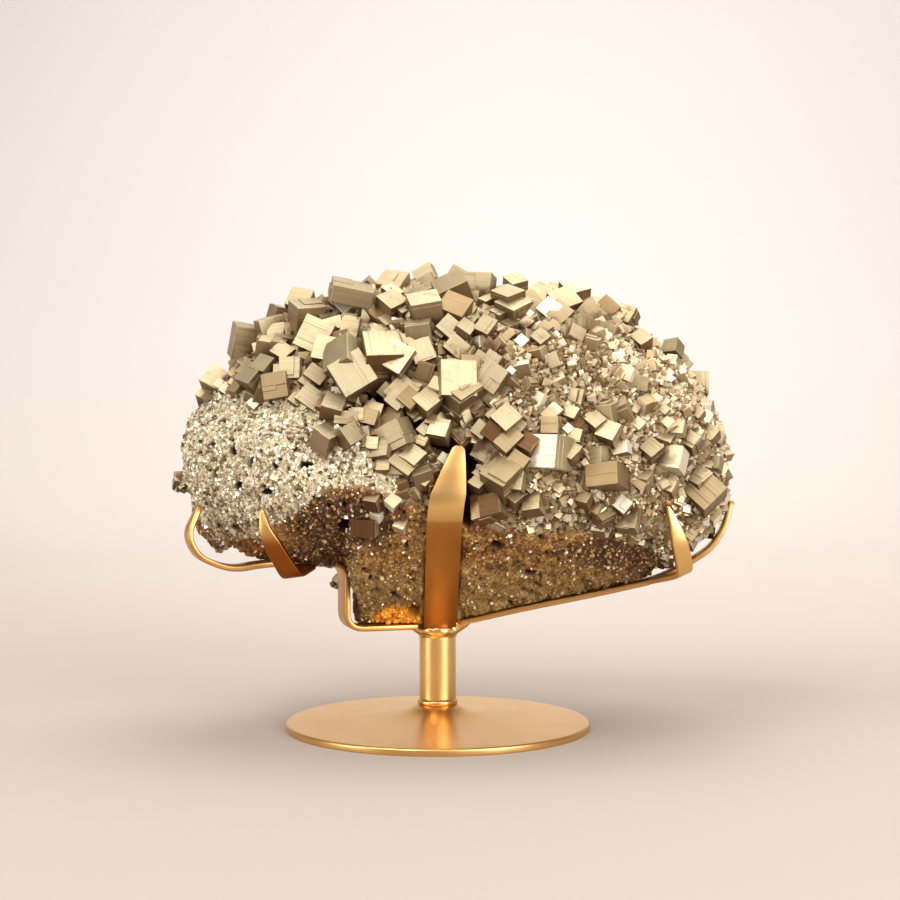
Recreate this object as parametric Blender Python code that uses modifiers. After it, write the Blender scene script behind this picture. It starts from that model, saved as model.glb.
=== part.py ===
"""Pyrite specimen held in a welded metal stand.

Units are metres, +Z is up and the origin is the centre of the underside of the base.
+X is to the right and -Y is the front. Lengths written in the tables are millimetres.
"""
import math
import random

import bmesh
import bpy
from mathutils import Matrix, Vector, noise
from mathutils.bvhtree import BVHTree

MM = 0.001
TOUCH_GAP = 0.3

# Driving dimensions of the stand, in millimetres
BASE_RADIUS = 82.5
BASE_RIM_THICKNESS = 3.8
BASE_CENTRE_HEIGHT = 12.6
POST_RADIUS = 10.0
POST_TOP = 48.0
WELD_TOP = 54.0
PLUG_HALF_WIDTH = 8.1
PLUG_TOP = 57.1
STRIP_WIDTH = 17.5
STRIP_THICKNESS = 3.0
EDGE_ROUNDING = 0.6
LEFT_ARM_HEADING = 17.7      # degrees that the left arm swings towards the front
RIGHT_ARM_HEADING = 7.0      # degrees that the right arm swings towards the front

BEND_RADIUS = 9.0            # where an arm starts to bend before a corner
ARM_TIP_WIDTH = 5.0
LEFT_ARM_TAPER = 30.0        # how long the narrowing end of an arm is
RIGHT_ARM_TAPER = 34.0
TAPER_POWER = 0.6            # below 1, a taper keeps its width and then closes quickly

# Lathe steps and the distance below which turned points are one
BASE_STEPS = 48
POST_STEPS = 20
MERGE_DISTANCE = 0.05

# The base's flare: distance beyond the post's radius, and fall from the centre's height
BASE_FLARE = [(1.5, 0), (5.5, 2.4), (15, 4.9), (41.15, 7.2)]

# The post's outline, top to bottom: radius, and height above its foot
WELD_ON_TOP = [(8.6, 41.1), (10.4, 39.9), (11.0, 37.5)]
BEAD_AT_FOOT = [(10.0, 4.2), (10.9, 3.2), (11.2, 1.8), (10.9, 0.5), (10.4, 0)]

# Arms, each in an upright plane: distance from the post, and height
LEFT_ARM_PATH = [(13.4, 55.8), (52.5, 55.8), (52.5, 90.6), (96, 91.4), (114, 88.4), (131, 95.5),
                 (136.6, 107), (129.6, 122)]
RIGHT_ARM_PATH = [(13.0, 57.6), (45, 65.2), (88, 74.4), (116, 81.0), (129, 86.8), (147, 98.6),
                  (154, 109.5), (158, 124)]

# Prongs: both edges of each, from where it is welded on to its tip
FRONT_PRONG_EDGES = [
    ((-7.4, -9.6, 56.5), (10.0, -9.6, 56.5)),
    ((-6.0, -48.0, 88.4), (11.5, -48.0, 88.4)),
    ((-4.9, -79.0, 113.8), (12.6, -79.0, 113.8)),
    ((-4.5, -83.6, 118.2), (13.0, -83.6, 118.2)),
    ((-3.9, -86.0, 123.2), (13.6, -86.0, 123.2)),
    ((-2.4, -86.2, 129.6), (14.4, -86.2, 129.6)),
    ((1.4, -84.9, 141.0), (14.6, -84.9, 141.0)),
    ((5.2, -83.4, 148.4), (14.5, -83.4, 148.4)),
    ((8.6, -82.3, 151.6), (14.2, -82.3, 151.6)),
]
REAR_PRONG_EDGES = [
    ((8.7, 9.6, 56.5), (-8.7, 9.6, 56.5)),
    ((8.7, 48.0, 88.4), (-8.7, 48.0, 88.4)),
    ((8.7, 83.5, 117.6), (-8.7, 83.5, 117.6)),
    ((8.7, 86.5, 121.5), (-8.7, 86.5, 121.5)),
    ((8.0, 85.9, 129.6), (-7.4, 85.9, 129.6)),
    ((5.6, 84.5, 141.0), (-4.2, 84.5, 141.0)),
    ((2.2, 83.0, 149.5), (-1.4, 83.0, 149.5)),
]
LEFT_PRONG_EDGES = [
    ((-76.5, -33.6, 90.4), (-63.0, -37.9, 90.4)),
    ((-77.8, -52.0, 86.6), (-67.6, -54.5, 88.0)),
    ((-80.2, -58.4, 88.6), (-69.9, -60.5, 90.6)),
    ((-86.2, -66.0, 102.2), (-77.6, -67.6, 103.8)),
    ((-88.6, -67.5, 110.4), (-83.0, -68.6, 112.0)),
    ((-88.8, -66.0, 120.6), (-86.6, -66.6, 121.0)),
]
RIGHT_PRONG_EDGES = [
    ((111.6, -22.9, 80.8), (124.6, -24.5, 84.8)),
    ((121.8, -50.5, 86.0), (130.2, -48.0, 89.6)),
    ((121.9, -57.0, 90.4), (130.0, -54.6, 93.6)),
    ((118.8, -63.0, 103.0), (126.8, -61.2, 104.8)),
    ((117.2, -64.5, 113.0), (122.4, -63.2, 114.0)),
    ((115.4, -63.5, 122.6), (117.4, -63.2, 122.8)),
]

# The rock under the crystals, as sections from left to right, in millimetres:
# place, top, bottom, reach to the front, reach to the back, height of the widest line,
# and how full the underside is (1 is a straight wedge, 2 is round)
ROCK_SECTIONS = [
    (-136, 162, 124, 14, 14, 146, 2.0),
    (-131, 172, 108, 25, 25, 143, 1.9),
    (-122, 181, 99, 36, 36, 140, 1.8),
    (-110, 196, 95, 47, 46, 137, 1.7),
    (-96, 209, 92, 57, 55, 134, 1.7),
    (-82, 221, 90, 65, 63, 131, 1.7),
    (-68, 228, 90, 71, 69, 129, 1.6),
    (-56, 232, 88, 75, 73, 128, 1.5),
    (-47, 235, 86, 77, 76, 127, 1.4),
    (-42, 236, 62, 79, 78, 126, 1.25),
    (-30, 237, 58, 80, 80, 126, 1.2),
    (-16, 239, 57.8, 81, 82, 125, 1.2),
    (0, 240, 57.8, 82, 83, 125, 1.2),
    (16, 238, 61, 83, 83, 124, 1.2),
    (34, 235, 65.5, 83, 83, 124, 1.2),
    (52, 232, 69.5, 82, 81, 124, 1.2),
    (70, 229, 73.5, 80, 78, 124, 1.25),
    (88, 224, 77.5, 76, 74, 124, 1.3),
    (105, 216, 82, 70, 69, 124, 1.35),
    (120, 205, 87, 63, 62, 126, 1.4),
    (133, 193, 93, 54, 54, 129, 1.5),
    (144, 180, 104, 43, 43, 133, 1.7),
    (152, 166, 119, 29, 29, 139, 1.9),
    (156, 156, 132, 15, 15, 144, 2.0),
]
ROCK_ENDS = (-139, 158)
ROCK_END_HEIGHTS = (147, 145)
ROCK_RING = 28
DOME_FULLNESS = 2.3

# Swellings and hollows of the rock: place, height, spread along X, spread along Z, size
ROCK_LUMPS = [
    (-78, 146, 44, 26, 7),
    (-112, 150, 20, 20, 3),
    (-24, 168, 14, 14, -7),
    (-2, 152, 14, 12, -5),
    (96, 190, 40, 26, 4),
    (60, 140, 50, 12, 3),
    (20, 92, 12, 16, 2),
]
ROCK_GRAIN = 26.0
ROCK_ROUGHNESS = 4.2
ROCK_JITTER = 2.2
ROCK_SEED = 5

# Open pits in the sugary left lobe: where they appear (across, up) and their radius
ROCK_PITS = [
    (-123, 154, 2.6),
    (-112, 153, 2.8),
    (-103, 147, 3.0),
    (-89, 143, 3.2),
    (-77, 151, 3.6),
    (-72, 143, 3.4),
    (-96, 128, 2.6),
    (-118, 135, 2.6),
]
PIT_DEPTH = 1.4              # how deep a pit goes, in radii

# Crystals that stand out on the front. Each row is where the nearest corner appears from
# VIEW_POINT on the plane through the post (across, up), the length of an edge, and the
# directions in which the three edges run away from that corner, in degrees from +X.
VIEW_POINT = (6.7, -830.0, 151.0)
CROWN_CRYSTALS = [
    (-110, 219, 18, 351, 260, 130),
    (-87, 208, 10, 56, 171, 265),
    (-84, 200, 9.5, 40, 150, 275),
    (-88, 229, 12.5, 347, 150, 255),
    (-72, 229, 12.5, 66, 169, 280),
    (-75, 227, 15.5, 4, 140, 268),
    (-63, 201, 17, 64, 156, 325),
    (-45, 216, 7, 80, 172, 300),
    (-56, 208, 6, 75, 170, 290),
    (-51, 224, 8, 40, 133, 265),
    (-32, 228, 8.5, 92, 183, 320),
    (-56, 239, 21, 349, 100, 258),
    (-21, 238, 14, 55, 172, 280),
    (-1, 245, 10.5, 115, 208, 322),
    (13, 238, 11.5, 60, 152, 285),
    (28, 233, 15, 85, 177, 315),
    (38, 233, 13, 21, 159, 270),
    (41, 242, 10, 15, 140, 268),
    (-15, 228, 16, 10, 115, 277),
    (-25, 227, 12, 25, 140, 262),
    (-5, 219, 12.5, 70, 187, 279),
    (13, 222, 14.5, 158, 55, 262),
    (7, 211, 10, 47, 140, 250),
    (-12, 197, 11.5, 20, 112, 250),
    (-38, 202, 18.5, 2, 101, 265),
    (-48, 200, 17, 92, 209, 326),
    (55, 235, 11, 30, 150, 275),
    (67, 233, 10, 70, 170, 300),
]
BAND_CRYSTALS = [
    (-50, 179, 18.5, 31, 122, 280),
    (-81, 180, 13, 97, 190, 345),
    (-103, 187, 12.5, 50, 160, 310),
    (-121, 184, 12.5, 48, 150, 290),
    (-75, 190, 11, 88, 182, 330),
    (-71, 185, 6, 50, 145, 270),
    (-52, 172, 10.5, 68, 165, 262),
    (-58, 157, 11.5, 25, 146, 255),
    (-47, 153, 10, 30, 125, 225),
    (-35, 164, 8, 72, 165, 290),
    (-41, 167, 6.5, 85, 178, 300),
    (-28, 158, 7, 80, 190, 320),
    (-17, 154, 13.5, 12, 114, 208),
    (-22, 172, 9, 48, 140, 280),
    (-15, 173, 9.5, 45, 140, 270),
    (-21, 192, 15, 55, 150, 300),
    (13, 178, 15, 34, 142, 268),
    (2, 180, 18, 91, 358, 226),
    (-6, 172, 11, 38, 139, 273),
    (4, 158, 10, 70, 170, 290),
    (14, 154, 12.5, 40, 133, 265),
    (32, 144, 14.5, 61, 152, 310),
    (30, 155, 8, 52, 143, 280),
    (37, 161, 11.5, 40, 137, 270),
]
SLOPE_CRYSTALS = [
    (61, 221, 10, 45, 142, 270),
    (67, 226, 14, 20, 130, 260),
    (73, 237, 12.5, 15, 135, 265),
    (92, 222, 11, 42, 138, 272),
    (78, 216, 8.5, 91, 193, 340),
    (56, 208, 7.5, 40, 140, 270),
    (104, 221, 10, 60, 160, 290),
    (110, 208, 9, 30, 140, 265),
    (130, 206, 8.5, 80, 190, 310),
    (74, 168, 6.5, 60, 160, 290),
    (86, 163, 8, 38, 140, 270),
    (65, 160, 8.5, 88, 180, 300),
    (44, 160, 6.5, 45, 140, 270),
    (50, 150, 9, 50, 150, 280),
    (77, 155, 7, 75, 170, 300),
]
RIM_CRYSTALS = [
    (63, 141, 16.5, 85, 178, 348),
    (72, 146, 10, 45, 150, 270),
    (89, 144, 8.5, 90, 185, 350),
    (95, 156, 10, 60, 160, 290),
    (98, 133, 17, 92, 188, 329),
    (130, 141, 12, 77, 173, 311),
    (116, 147, 9, 40, 140, 270),
    (138, 152, 8.5, 50, 150, 280),
    (141, 132, 11, 40, 150, 280),
    (144, 118, 16.5, 45, 137, 270),
    (107, 109, 10, 80, 175, 300),
    (101, 116, 7.5, 50, 142, 270),
    (90, 113, 9, 30, 130, 255),
    (55, 120, 9, 88, 188, 310),
    (36, 131, 15, 45, 150, 275),
    (45, 129, 10, 80, 175, 310),
    (34, 118, 11, 97, 195, 330),
    (44, 138, 9.5, 52, 145, 280),
    (148, 156, 8, 50, 150, 280),
    (152, 141, 7, 80, 180, 310),
    (-34, 113, 13, 45, 174, 270),
    (-34, 123, 7.5, 60, 170, 285),
    (-13, 142, 10, 45, 145, 275),
    (-27, 140, 7, 80, 180, 310),
    (-140, 130, 7, 45, 150, 275),
]
CRYSTAL_RISE = 0.12          # how far a crystal's middle stands off the rock, in edges
BESIDE_STEPS = range(-80, 61, 4)     # where to look along a sight line that misses the rock
BESIDE_PULL = 0.9                    # and how much of the way out to it a crystal stays
# Crystals of the crown that are slabs: their row, and how much of the third edge is left
CROWN_SLABS = {11: 0.42, 23: 0.6}

# Crystals that fill the crown and the hidden sides
FILL_SEED = 11
FILL_TRIES = 4000
FILL_COUNT = 88
FILL_EDGE_LARGE = (11.0, 17.0)
FILL_EDGE_SMALL = (7.0, 11.0)
FILL_LARGE_SHARE = 0.45
FILL_LARGE_ABOVE = 150.0
FILL_TILT = (0.3, 1.2)           # radians that a crystal leans from square to the rock
FILL_SPACING = 0.95
FILL_LOWEST = 112.0
FILL_REACH = (-128.0, 146.0)     # furthest left and right

# Where the front is left bare of them: the left lobe, the right slope and the matrix
LOBE_RIGHT_END = -20.0
LOBE_TOP = 166.0                 # at the middle, falling by LOBE_FALL a millimetre to the right
LOBE_FALL = 0.1
SLOPE_LEFT_END = 30.0
SLOPE_BACK = -30.0
MATRIX_TOP = 135.0

# Materials: colour, roughness, metallic
PYRITE_FINISH = ((0.50, 0.38, 0.17, 1.0), 0.30, 0.90)
GOLD_FINISH = ((0.72, 0.36, 0.10, 1.0), 0.38, 1.00)


def clear_scene():
    """Remove what a new Blender file starts with."""
    for thing in list(bpy.data.objects):
        bpy.data.objects.remove(thing, do_unlink=True)


def new_collection(name):
    """A collection under the scene's own."""
    made = bpy.data.collections.new(name)
    bpy.context.scene.collection.children.link(made)
    return made


def finish_material(name, finish):
    """A Principled material from its colour, roughness and metallic value."""
    colour, roughness, metallic = finish
    made = bpy.data.materials.new(name)
    made.use_nodes = True
    shader = made.node_tree.nodes["Principled BSDF"]
    shader.inputs["Base Color"].default_value = colour
    shader.inputs["Roughness"].default_value = roughness
    shader.inputs["Metallic"].default_value = metallic
    return made


def add_object(name, mesh, collection, material=None):
    """Put a mesh into a collection as a named object."""
    made = bpy.data.objects.new(name, mesh)
    collection.objects.link(made)
    if material:
        mesh.materials.append(material)
    return made


def mesh_from(name, form):
    """Turn a bmesh into a mesh and free it."""
    mesh = bpy.data.meshes.new(name)
    form.to_mesh(mesh)
    form.free()
    return mesh


def add_cutter(name, mesh, collection):
    """A helper solid that is left out of the part."""
    made = add_object(name, mesh, collection)
    made.hide_render = True
    made.display_type = "WIRE"
    return made


def boolean(target, operation, operand):
    """Join or cut a target with one object or with a whole collection."""
    modifier = target.modifiers.new(operation.title(), "BOOLEAN")
    modifier.operation = operation
    modifier.solver = "EXACT"
    if isinstance(operand, bpy.types.Collection):
        modifier.operand_type = "COLLECTION"
        modifier.collection = operand
    else:
        modifier.object = operand
    return modifier


# ---------------------------------------------------------------- turned pieces


def turned(name, profile, steps, collection, material):
    """Turn a profile of (radius, height), top to bottom, about the Z axis."""
    form = bmesh.new()
    points = [form.verts.new((r * MM, 0, z * MM)) for r, z in profile]
    for upper, lower in zip(points, points[1:]):
        form.edges.new((upper, lower))
    made = add_object(name, mesh_from(name, form), collection, material)
    screw = made.modifiers.new("Turn", "SCREW")
    screw.axis = "Z"
    screw.angle = math.tau
    screw.steps = steps
    screw.render_steps = steps
    screw.use_merge_vertices = True
    screw.merge_threshold = MERGE_DISTANCE * MM
    screw.use_smooth_shade = True
    return made


def make_base_plate(collection, material):
    """A thin disc that rises in a shallow flare to the foot of the post."""
    rim = BASE_RIM_THICKNESS
    top = BASE_CENTRE_HEIGHT
    flare = [(POST_RADIUS + beyond, top - fall) for beyond, fall in BASE_FLARE]
    edge = [(BASE_RADIUS - 1.2, rim), (BASE_RADIUS, rim - 1.0), (BASE_RADIUS, 0.8), (BASE_RADIUS - 0.8, 0)]
    profile = [(0, top)] + flare + edge + [(0, 0)]
    return turned("base_plate", profile, BASE_STEPS, collection, material)


def make_post(collection, cutters, material):
    """The round post: a weld bead at its foot, a lump of weld and a square plug on top."""
    foot = BASE_CENTRE_HEIGHT + TOUCH_GAP
    weld = [(radius, foot + height) for radius, height in WELD_ON_TOP]
    bead = [(radius, foot + height) for radius, height in BEAD_AT_FOOT]
    profile = [(0, weld[0][1])] + weld + [(POST_RADIUS, POST_TOP)] + bead + [(0, foot)]
    post = turned("post", profile, POST_STEPS, collection, material)
    plug = square_block("weld_plug", PLUG_HALF_WIDTH, WELD_TOP - 2.0, PLUG_TOP, cutters)
    boolean(post, "UNION", plug)
    return post


def square_block(name, half_width, bottom, top, collection):
    """A square helper block about the Z axis."""
    form = bmesh.new()
    size = Matrix.Diagonal((2 * half_width * MM, 2 * half_width * MM, (top - bottom) * MM, 1))
    place = Matrix.Translation((0, 0, (top + bottom) / 2 * MM))
    bmesh.ops.create_cube(form, size=1.0, matrix=place @ size)
    return add_cutter(name, mesh_from(name, form), collection)


# ---------------------------------------------------------------- bent strips


def rounded_path(points, radius, steps=3):
    """Replace each inner corner of a path by a short curve that starts radius away."""
    path = [Vector(points[0])]
    for before, corner, after in zip(points, points[1:], points[2:]):
        corner = Vector(corner)
        back = Vector(before) - corner
        ahead = Vector(after) - corner
        reach = min(radius, back.length * 0.45, ahead.length * 0.45)
        start = corner + back.normalized() * reach
        end = corner + ahead.normalized() * reach
        for step in range(steps + 1):
            t = step / steps
            path.append(start * (1 - t) ** 2 + corner * 2 * t * (1 - t) + end * t ** 2)
    path.append(Vector(points[-1]))
    return path


def strip_mesh(name, rows):
    """An open ribbon between the left and right points of its rows, in millimetres."""
    form = bmesh.new()
    pairs = [(form.verts.new(Vector(a) * MM), form.verts.new(Vector(b) * MM)) for a, b in rows]
    for (a, b), (c, d) in zip(pairs, pairs[1:]):
        form.faces.new((a, b, d, c))
    return mesh_from(name, form)


def thicken(thing, thickness, rounding):
    """Give a ribbon its thickness about its middle, and round its long edges."""
    solid = thing.modifiers.new("Thickness", "SOLIDIFY")
    solid.thickness = thickness * MM
    solid.offset = 0.0
    solid.use_even_offset = True
    if rounding:
        bevel = thing.modifiers.new("Rounding", "BEVEL")
        bevel.width = rounding * MM
        bevel.segments = 1
        bevel.limit_method = "ANGLE"
        bevel.angle_limit = math.radians(60)


def widened(rows, extra):
    """The same rows, longer and wider by the gap that the stone keeps to a strip."""
    wide = []
    for left, right in rows:
        left, right = Vector(left), Vector(right)
        across = (right - left).normalized() * extra
        wide.append((left - across, right + across))
    for end, inner in ((0, 1), (-1, -2)):
        middle = (wide[end][0] + wide[end][1]) / 2
        out = (middle - (wide[inner][0] + wide[inner][1]) / 2).normalized() * extra
        wide[end] = (wide[end][0] + out, wide[end][1] + out)
    return wide


def make_strip(name, rows, collection, cutters, material):
    """One bent strip, and the slightly larger solid that clears it in the stone."""
    strip = add_object(name, strip_mesh(name, rows), collection, material)
    thicken(strip, STRIP_THICKNESS, EDGE_ROUNDING)
    room = strip_mesh("room_for_" + name, widened(rows, TOUCH_GAP))
    clearance = add_cutter("room_for_" + name, room, cutters)
    thicken(clearance, STRIP_THICKNESS + 2 * TOUCH_GAP, 0)
    return strip


def arm_rows(path, heading, side, taper_length):
    """Rows of an arm whose bends all lie in one upright plane through the post.

    path holds (distance from the post, height). side is -1 for an arm to the left and
    1 for one to the right. The arm narrows to its tip over the last taper_length.
    """
    turn = math.radians(heading)
    along = Vector((side * math.cos(turn), -math.sin(turn), 0))
    across = Vector((math.sin(turn) * side, math.cos(turn), 0))
    points = rounded_path(path, BEND_RADIUS)
    lengths = [(b - a).length for a, b in zip(points, points[1:])]
    rows = []
    for index, point in enumerate(points):
        left_to_tip = sum(lengths[index:])
        share = min(1.0, left_to_tip / taper_length) ** TAPER_POWER
        half = 0.5 * (ARM_TIP_WIDTH + (STRIP_WIDTH - ARM_TIP_WIDTH) * share)
        middle = along * point.x + Vector((0, 0, point.y))
        rows.append((middle - across * half, middle + across * half))
    return rows


# ---------------------------------------------------------------- the stone


def lump_size(place, height):
    """How far the swellings and hollows push the front out at a point."""
    total = 0.0
    for x, z, spread_x, spread_z, size in ROCK_LUMPS:
        total += size * math.exp(-((place - x) / spread_x) ** 2 - ((height - z) / spread_z) ** 2)
    return total


def rock_point(section, angle):
    """A point of the rock on one section. angle runs from the front up over the top."""
    place, top, bottom, front, back, widest, fullness = section
    c, s = math.cos(angle), math.sin(angle)
    power = DOME_FULLNESS if s >= 0 else fullness
    sideways = math.copysign(abs(c) ** (2 / power), c)
    upwards = math.copysign(abs(s) ** (2 / power), s)
    height = widest + upwards * ((top - widest) if s >= 0 else (widest - bottom))
    reach = front if c >= 0 else back
    depth = -sideways * reach
    if c > 0:
        depth -= lump_size(place, height) * c
    return Vector((place, depth, height))


def rock_form():
    """A sphere drawn out along X and fitted, row by row, to the rock's sections."""
    rows = len(ROCK_SECTIONS)
    form = bmesh.new()
    turn = Matrix.Rotation(-math.pi / 2, 4, "Y")
    bmesh.ops.create_uvsphere(form, u_segments=ROCK_RING, v_segments=rows + 1, radius=1.0,
                              matrix=turn)
    for vert in form.verts:
        row = round(math.acos(max(-1.0, min(1.0, -vert.co.x))) / math.pi * (rows + 1))
        if row in (0, rows + 1):
            end = 0 if row == 0 else 1
            vert.co = Vector((ROCK_ENDS[end], 0, ROCK_END_HEIGHTS[end]))
            continue
        angle = math.atan2(vert.co.z, -vert.co.y)
        vert.co = rock_point(ROCK_SECTIONS[row - 1], angle)
    form.normal_update()
    pick = random.Random(ROCK_SEED)
    shifts = []
    for vert in form.verts:
        coarse = noise.noise(vert.co / ROCK_GRAIN)
        fine = noise.noise(vert.co / (ROCK_GRAIN * 0.4))
        swell = vert.normal * (coarse + 0.6 * fine) * ROCK_ROUGHNESS
        slide = Vector([pick.uniform(-1, 1) * ROCK_JITTER for _ in range(3)])
        shifts.append(swell + slide - vert.normal * slide.dot(vert.normal))
    for vert, shift in zip(form.verts, shifts):
        vert.co += shift
    bmesh.ops.recalc_face_normals(form, faces=form.faces)
    return form


def edge_vectors(directions):
    """Three edges at right angles whose views run in the given directions.

    Seen along the sight line, an edge at direction g is drawn as (cos g, sin g) times a
    foreshortening. Right angles between all three settle how far each one leans away.
    """
    angles = [math.radians(d) for d in directions]
    edges = []
    for i in range(3):
        j, k = (i + 1) % 3, (i + 2) % 3
        ij = -math.cos(angles[i] - angles[j])
        ik = -math.cos(angles[i] - angles[k])
        jk = -math.cos(angles[j] - angles[k])
        lean = math.sqrt(ij * ik / jk)
        short = 1 / math.sqrt(1 + lean * lean)
        edges.append(Vector((short * math.cos(angles[i]), short * math.sin(angles[i]),
                             short * lean)))
    return edges


def sight_frame(target):
    """Right, up and forward for someone who looks from VIEW_POINT at a target."""
    forward = (target - Vector(VIEW_POINT)).normalized()
    right = forward.cross(Vector((0, 0, 1))).normalized()
    up = right.cross(forward)
    return right, up, forward


def crystal_matrix(row, surface):
    """Where a crystal of the front tables stands on the rock, as a matrix for a unit cube."""
    across, height, edge, *directions = row
    corner = Vector((across, 0, height))
    right, up, forward = sight_frame(corner)
    axes = [v.x * right + v.y * up + v.z * forward for v in edge_vectors(directions)]
    half = sum(axes, Vector()) * edge / 2
    eye = Vector(VIEW_POINT)
    far = (corner - eye).length
    middle = corner + half - forward * half.dot(forward)
    sight = (middle - eye).normalized()
    hit, normal, _, distance = surface.ray_cast(eye, sight)
    if hit is None:
        steps = [eye + sight * (far + d) for d in BESIDE_STEPS]
        centre = min(steps, key=lambda p: surface.find_nearest(p)[3])
        near = surface.find_nearest(centre)[0]
        centre = near + (centre - near) * BESIDE_PULL
    else:
        scale = distance / far
        middle = corner + (half - forward * half.dot(forward)) / scale
        sight = (middle - eye).normalized()
        again, turned_normal, _, distance = surface.ray_cast(eye, sight)
        if again is None:
            again, turned_normal = hit, normal
        centre = again + turned_normal * edge * CRYSTAL_RISE
    return cube_matrix(centre, axes, edge)


def cube_matrix(centre, axes, edge):
    """A unit cube's matrix from its centre, its edge directions and its edge length."""
    a, b, c = axes
    if a.cross(b).dot(c) < 0:
        a, b = b, a
    turn = Matrix((a, b, c)).transposed().to_4x4()
    return Matrix.Translation(centre * MM) @ turn @ Matrix.Scale(edge * MM, 4)


def cut_short(matrix, share):
    """Shorten a crystal along its third edge; its nearest corner stays in place."""
    return matrix @ Matrix.Translation((0, 0, (share - 1) / 2)) @ Matrix.Diagonal((1, 1, share, 1))


def fill_matrices(form, taken):
    """Seeded crystals over the crown, the ends and the back, clear of those placed before."""
    pick = random.Random(FILL_SEED)
    faces = [f for f in form.faces if f.calc_center_median().z > FILL_LOWEST]
    areas = [f.calc_area() for f in faces]
    placed = [(m.translation / MM, m.to_scale().x / MM) for m in taken]
    made = []
    for _ in range(FILL_TRIES):
        face = pick.choices(faces, areas)[0]
        weights = [pick.random() for _ in face.verts]
        total = sum(weights)
        spot = sum((v.co * w for v, w in zip(face.verts, weights)), Vector()) / total
        large = pick.random() < FILL_LARGE_SHARE and spot.z > FILL_LARGE_ABOVE
        edge = pick.uniform(*(FILL_EDGE_LARGE if large else FILL_EDGE_SMALL))
        turn = Matrix.Rotation(pick.uniform(0, math.tau), 3, "Z")
        tip = Matrix.Rotation(pick.uniform(*FILL_TILT), 3, pick.choice("XY"))
        outward = face.normal.to_track_quat("Z", "Y").to_matrix()
        if on_bare_front(spot) or not FILL_REACH[0] < spot.x < FILL_REACH[1]:
            continue
        if any((spot - other).length < FILL_SPACING * (edge + size) / 2
               for other, size in placed):
            continue
        axes = (outward @ turn @ tip).transposed()
        made.append(cube_matrix(spot + face.normal * edge * CRYSTAL_RISE, axes, edge))
        placed.append((spot, edge))
        if len(made) == FILL_COUNT:
            break
    return made


def on_bare_front(spot):
    """True on the sugary left lobe, the fine-grained right slope and the matrix below."""
    if spot.y > 0:
        return False
    lobe = spot.x < LOBE_RIGHT_END and spot.z < LOBE_TOP - LOBE_FALL * spot.x
    slope = spot.x > SLOPE_LEFT_END and spot.y < SLOPE_BACK
    below = spot.z < MATRIX_TOP
    return lobe or slope or below


def make_stone(collection, crystals, cutters, material):
    """The rock with its crystals grown into it, cleared where the strips touch it."""
    form = rock_form()
    surface = BVHTree.FromBMesh(form)
    tables = CROWN_CRYSTALS + BAND_CRYSTALS + SLOPE_CRYSTALS + RIM_CRYSTALS
    front = [crystal_matrix(row, surface) for row in tables]
    matrices = front + fill_matrices(form, front)
    for index, share in CROWN_SLABS.items():
        matrices[index] = cut_short(matrices[index], share)
    bmesh.ops.scale(form, vec=(MM, MM, MM), verts=form.verts)
    stone = add_object("pyrite", mesh_from("pyrite", form), collection, material)
    for index, matrix in enumerate(matrices):
        cube = bmesh.new()
        bmesh.ops.create_cube(cube, size=1.0, matrix=matrix)
        name = f"crystal_{index:03d}"
        add_cutter(name, mesh_from(name, cube), crystals)
    add_pits(surface, cutters)
    square_block("room_for_post", POST_RADIUS + 1.3, POST_TOP, PLUG_TOP + TOUCH_GAP, cutters)
    boolean(stone, "UNION", crystals)
    boolean(stone, "DIFFERENCE", cutters)
    keep_outer_skin(stone)
    return stone


def add_pits(surface, cutters):
    """Rough balls that hollow out the pits of the left lobe."""
    eye = Vector(VIEW_POINT)
    for index, (across, height, radius) in enumerate(ROCK_PITS):
        sight = (Vector((across, 0, height)) - eye).normalized()
        spot, normal, _, _ = surface.ray_cast(eye, sight)
        form = bmesh.new()
        bmesh.ops.create_icosphere(form, subdivisions=1, radius=radius * MM)
        bmesh.ops.scale(form, vec=(1, 1, PIT_DEPTH), verts=form.verts)
        turn = normal.to_track_quat("Z", "Y").to_matrix().to_4x4()
        bmesh.ops.transform(form, matrix=Matrix.Translation(spot * MM) @ turn, verts=form.verts)
        add_cutter(f"pit_{index}", mesh_from(f"pit_{index}", form), cutters)


def shells_of(form):
    """The faces of a mesh, grouped into the closed skins that they make up."""
    left = set(form.faces)
    shells = []
    while left:
        queue = [left.pop()]
        shell = []
        while queue:
            face = queue.pop()
            shell.append(face)
            pairs = [edge.link_faces for edge in face.edges if len(edge.link_faces) == 2]
            for other in (f for pair in pairs for f in pair if f in left):
                left.discard(other)
                queue.append(other)
        shells.append(shell)
    return shells


def keep_outer_skin(stone):
    """Settle the stone's joins and cuts, and fill the small hollows that they close in."""
    settled = bpy.data.meshes.new_from_object(
        stone.evaluated_get(bpy.context.evaluated_depsgraph_get()))
    form = bmesh.new()
    form.from_mesh(settled)
    shells = sorted(shells_of(form), key=len)
    inner = [face for shell in shells[:-1] for face in shell]
    bmesh.ops.delete(form, geom=inner, context="FACES")
    bmesh.ops.triangulate(form, faces=form.faces)
    form.to_mesh(settled)
    form.free()
    stone.modifiers.clear()
    stone.data = settled


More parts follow.
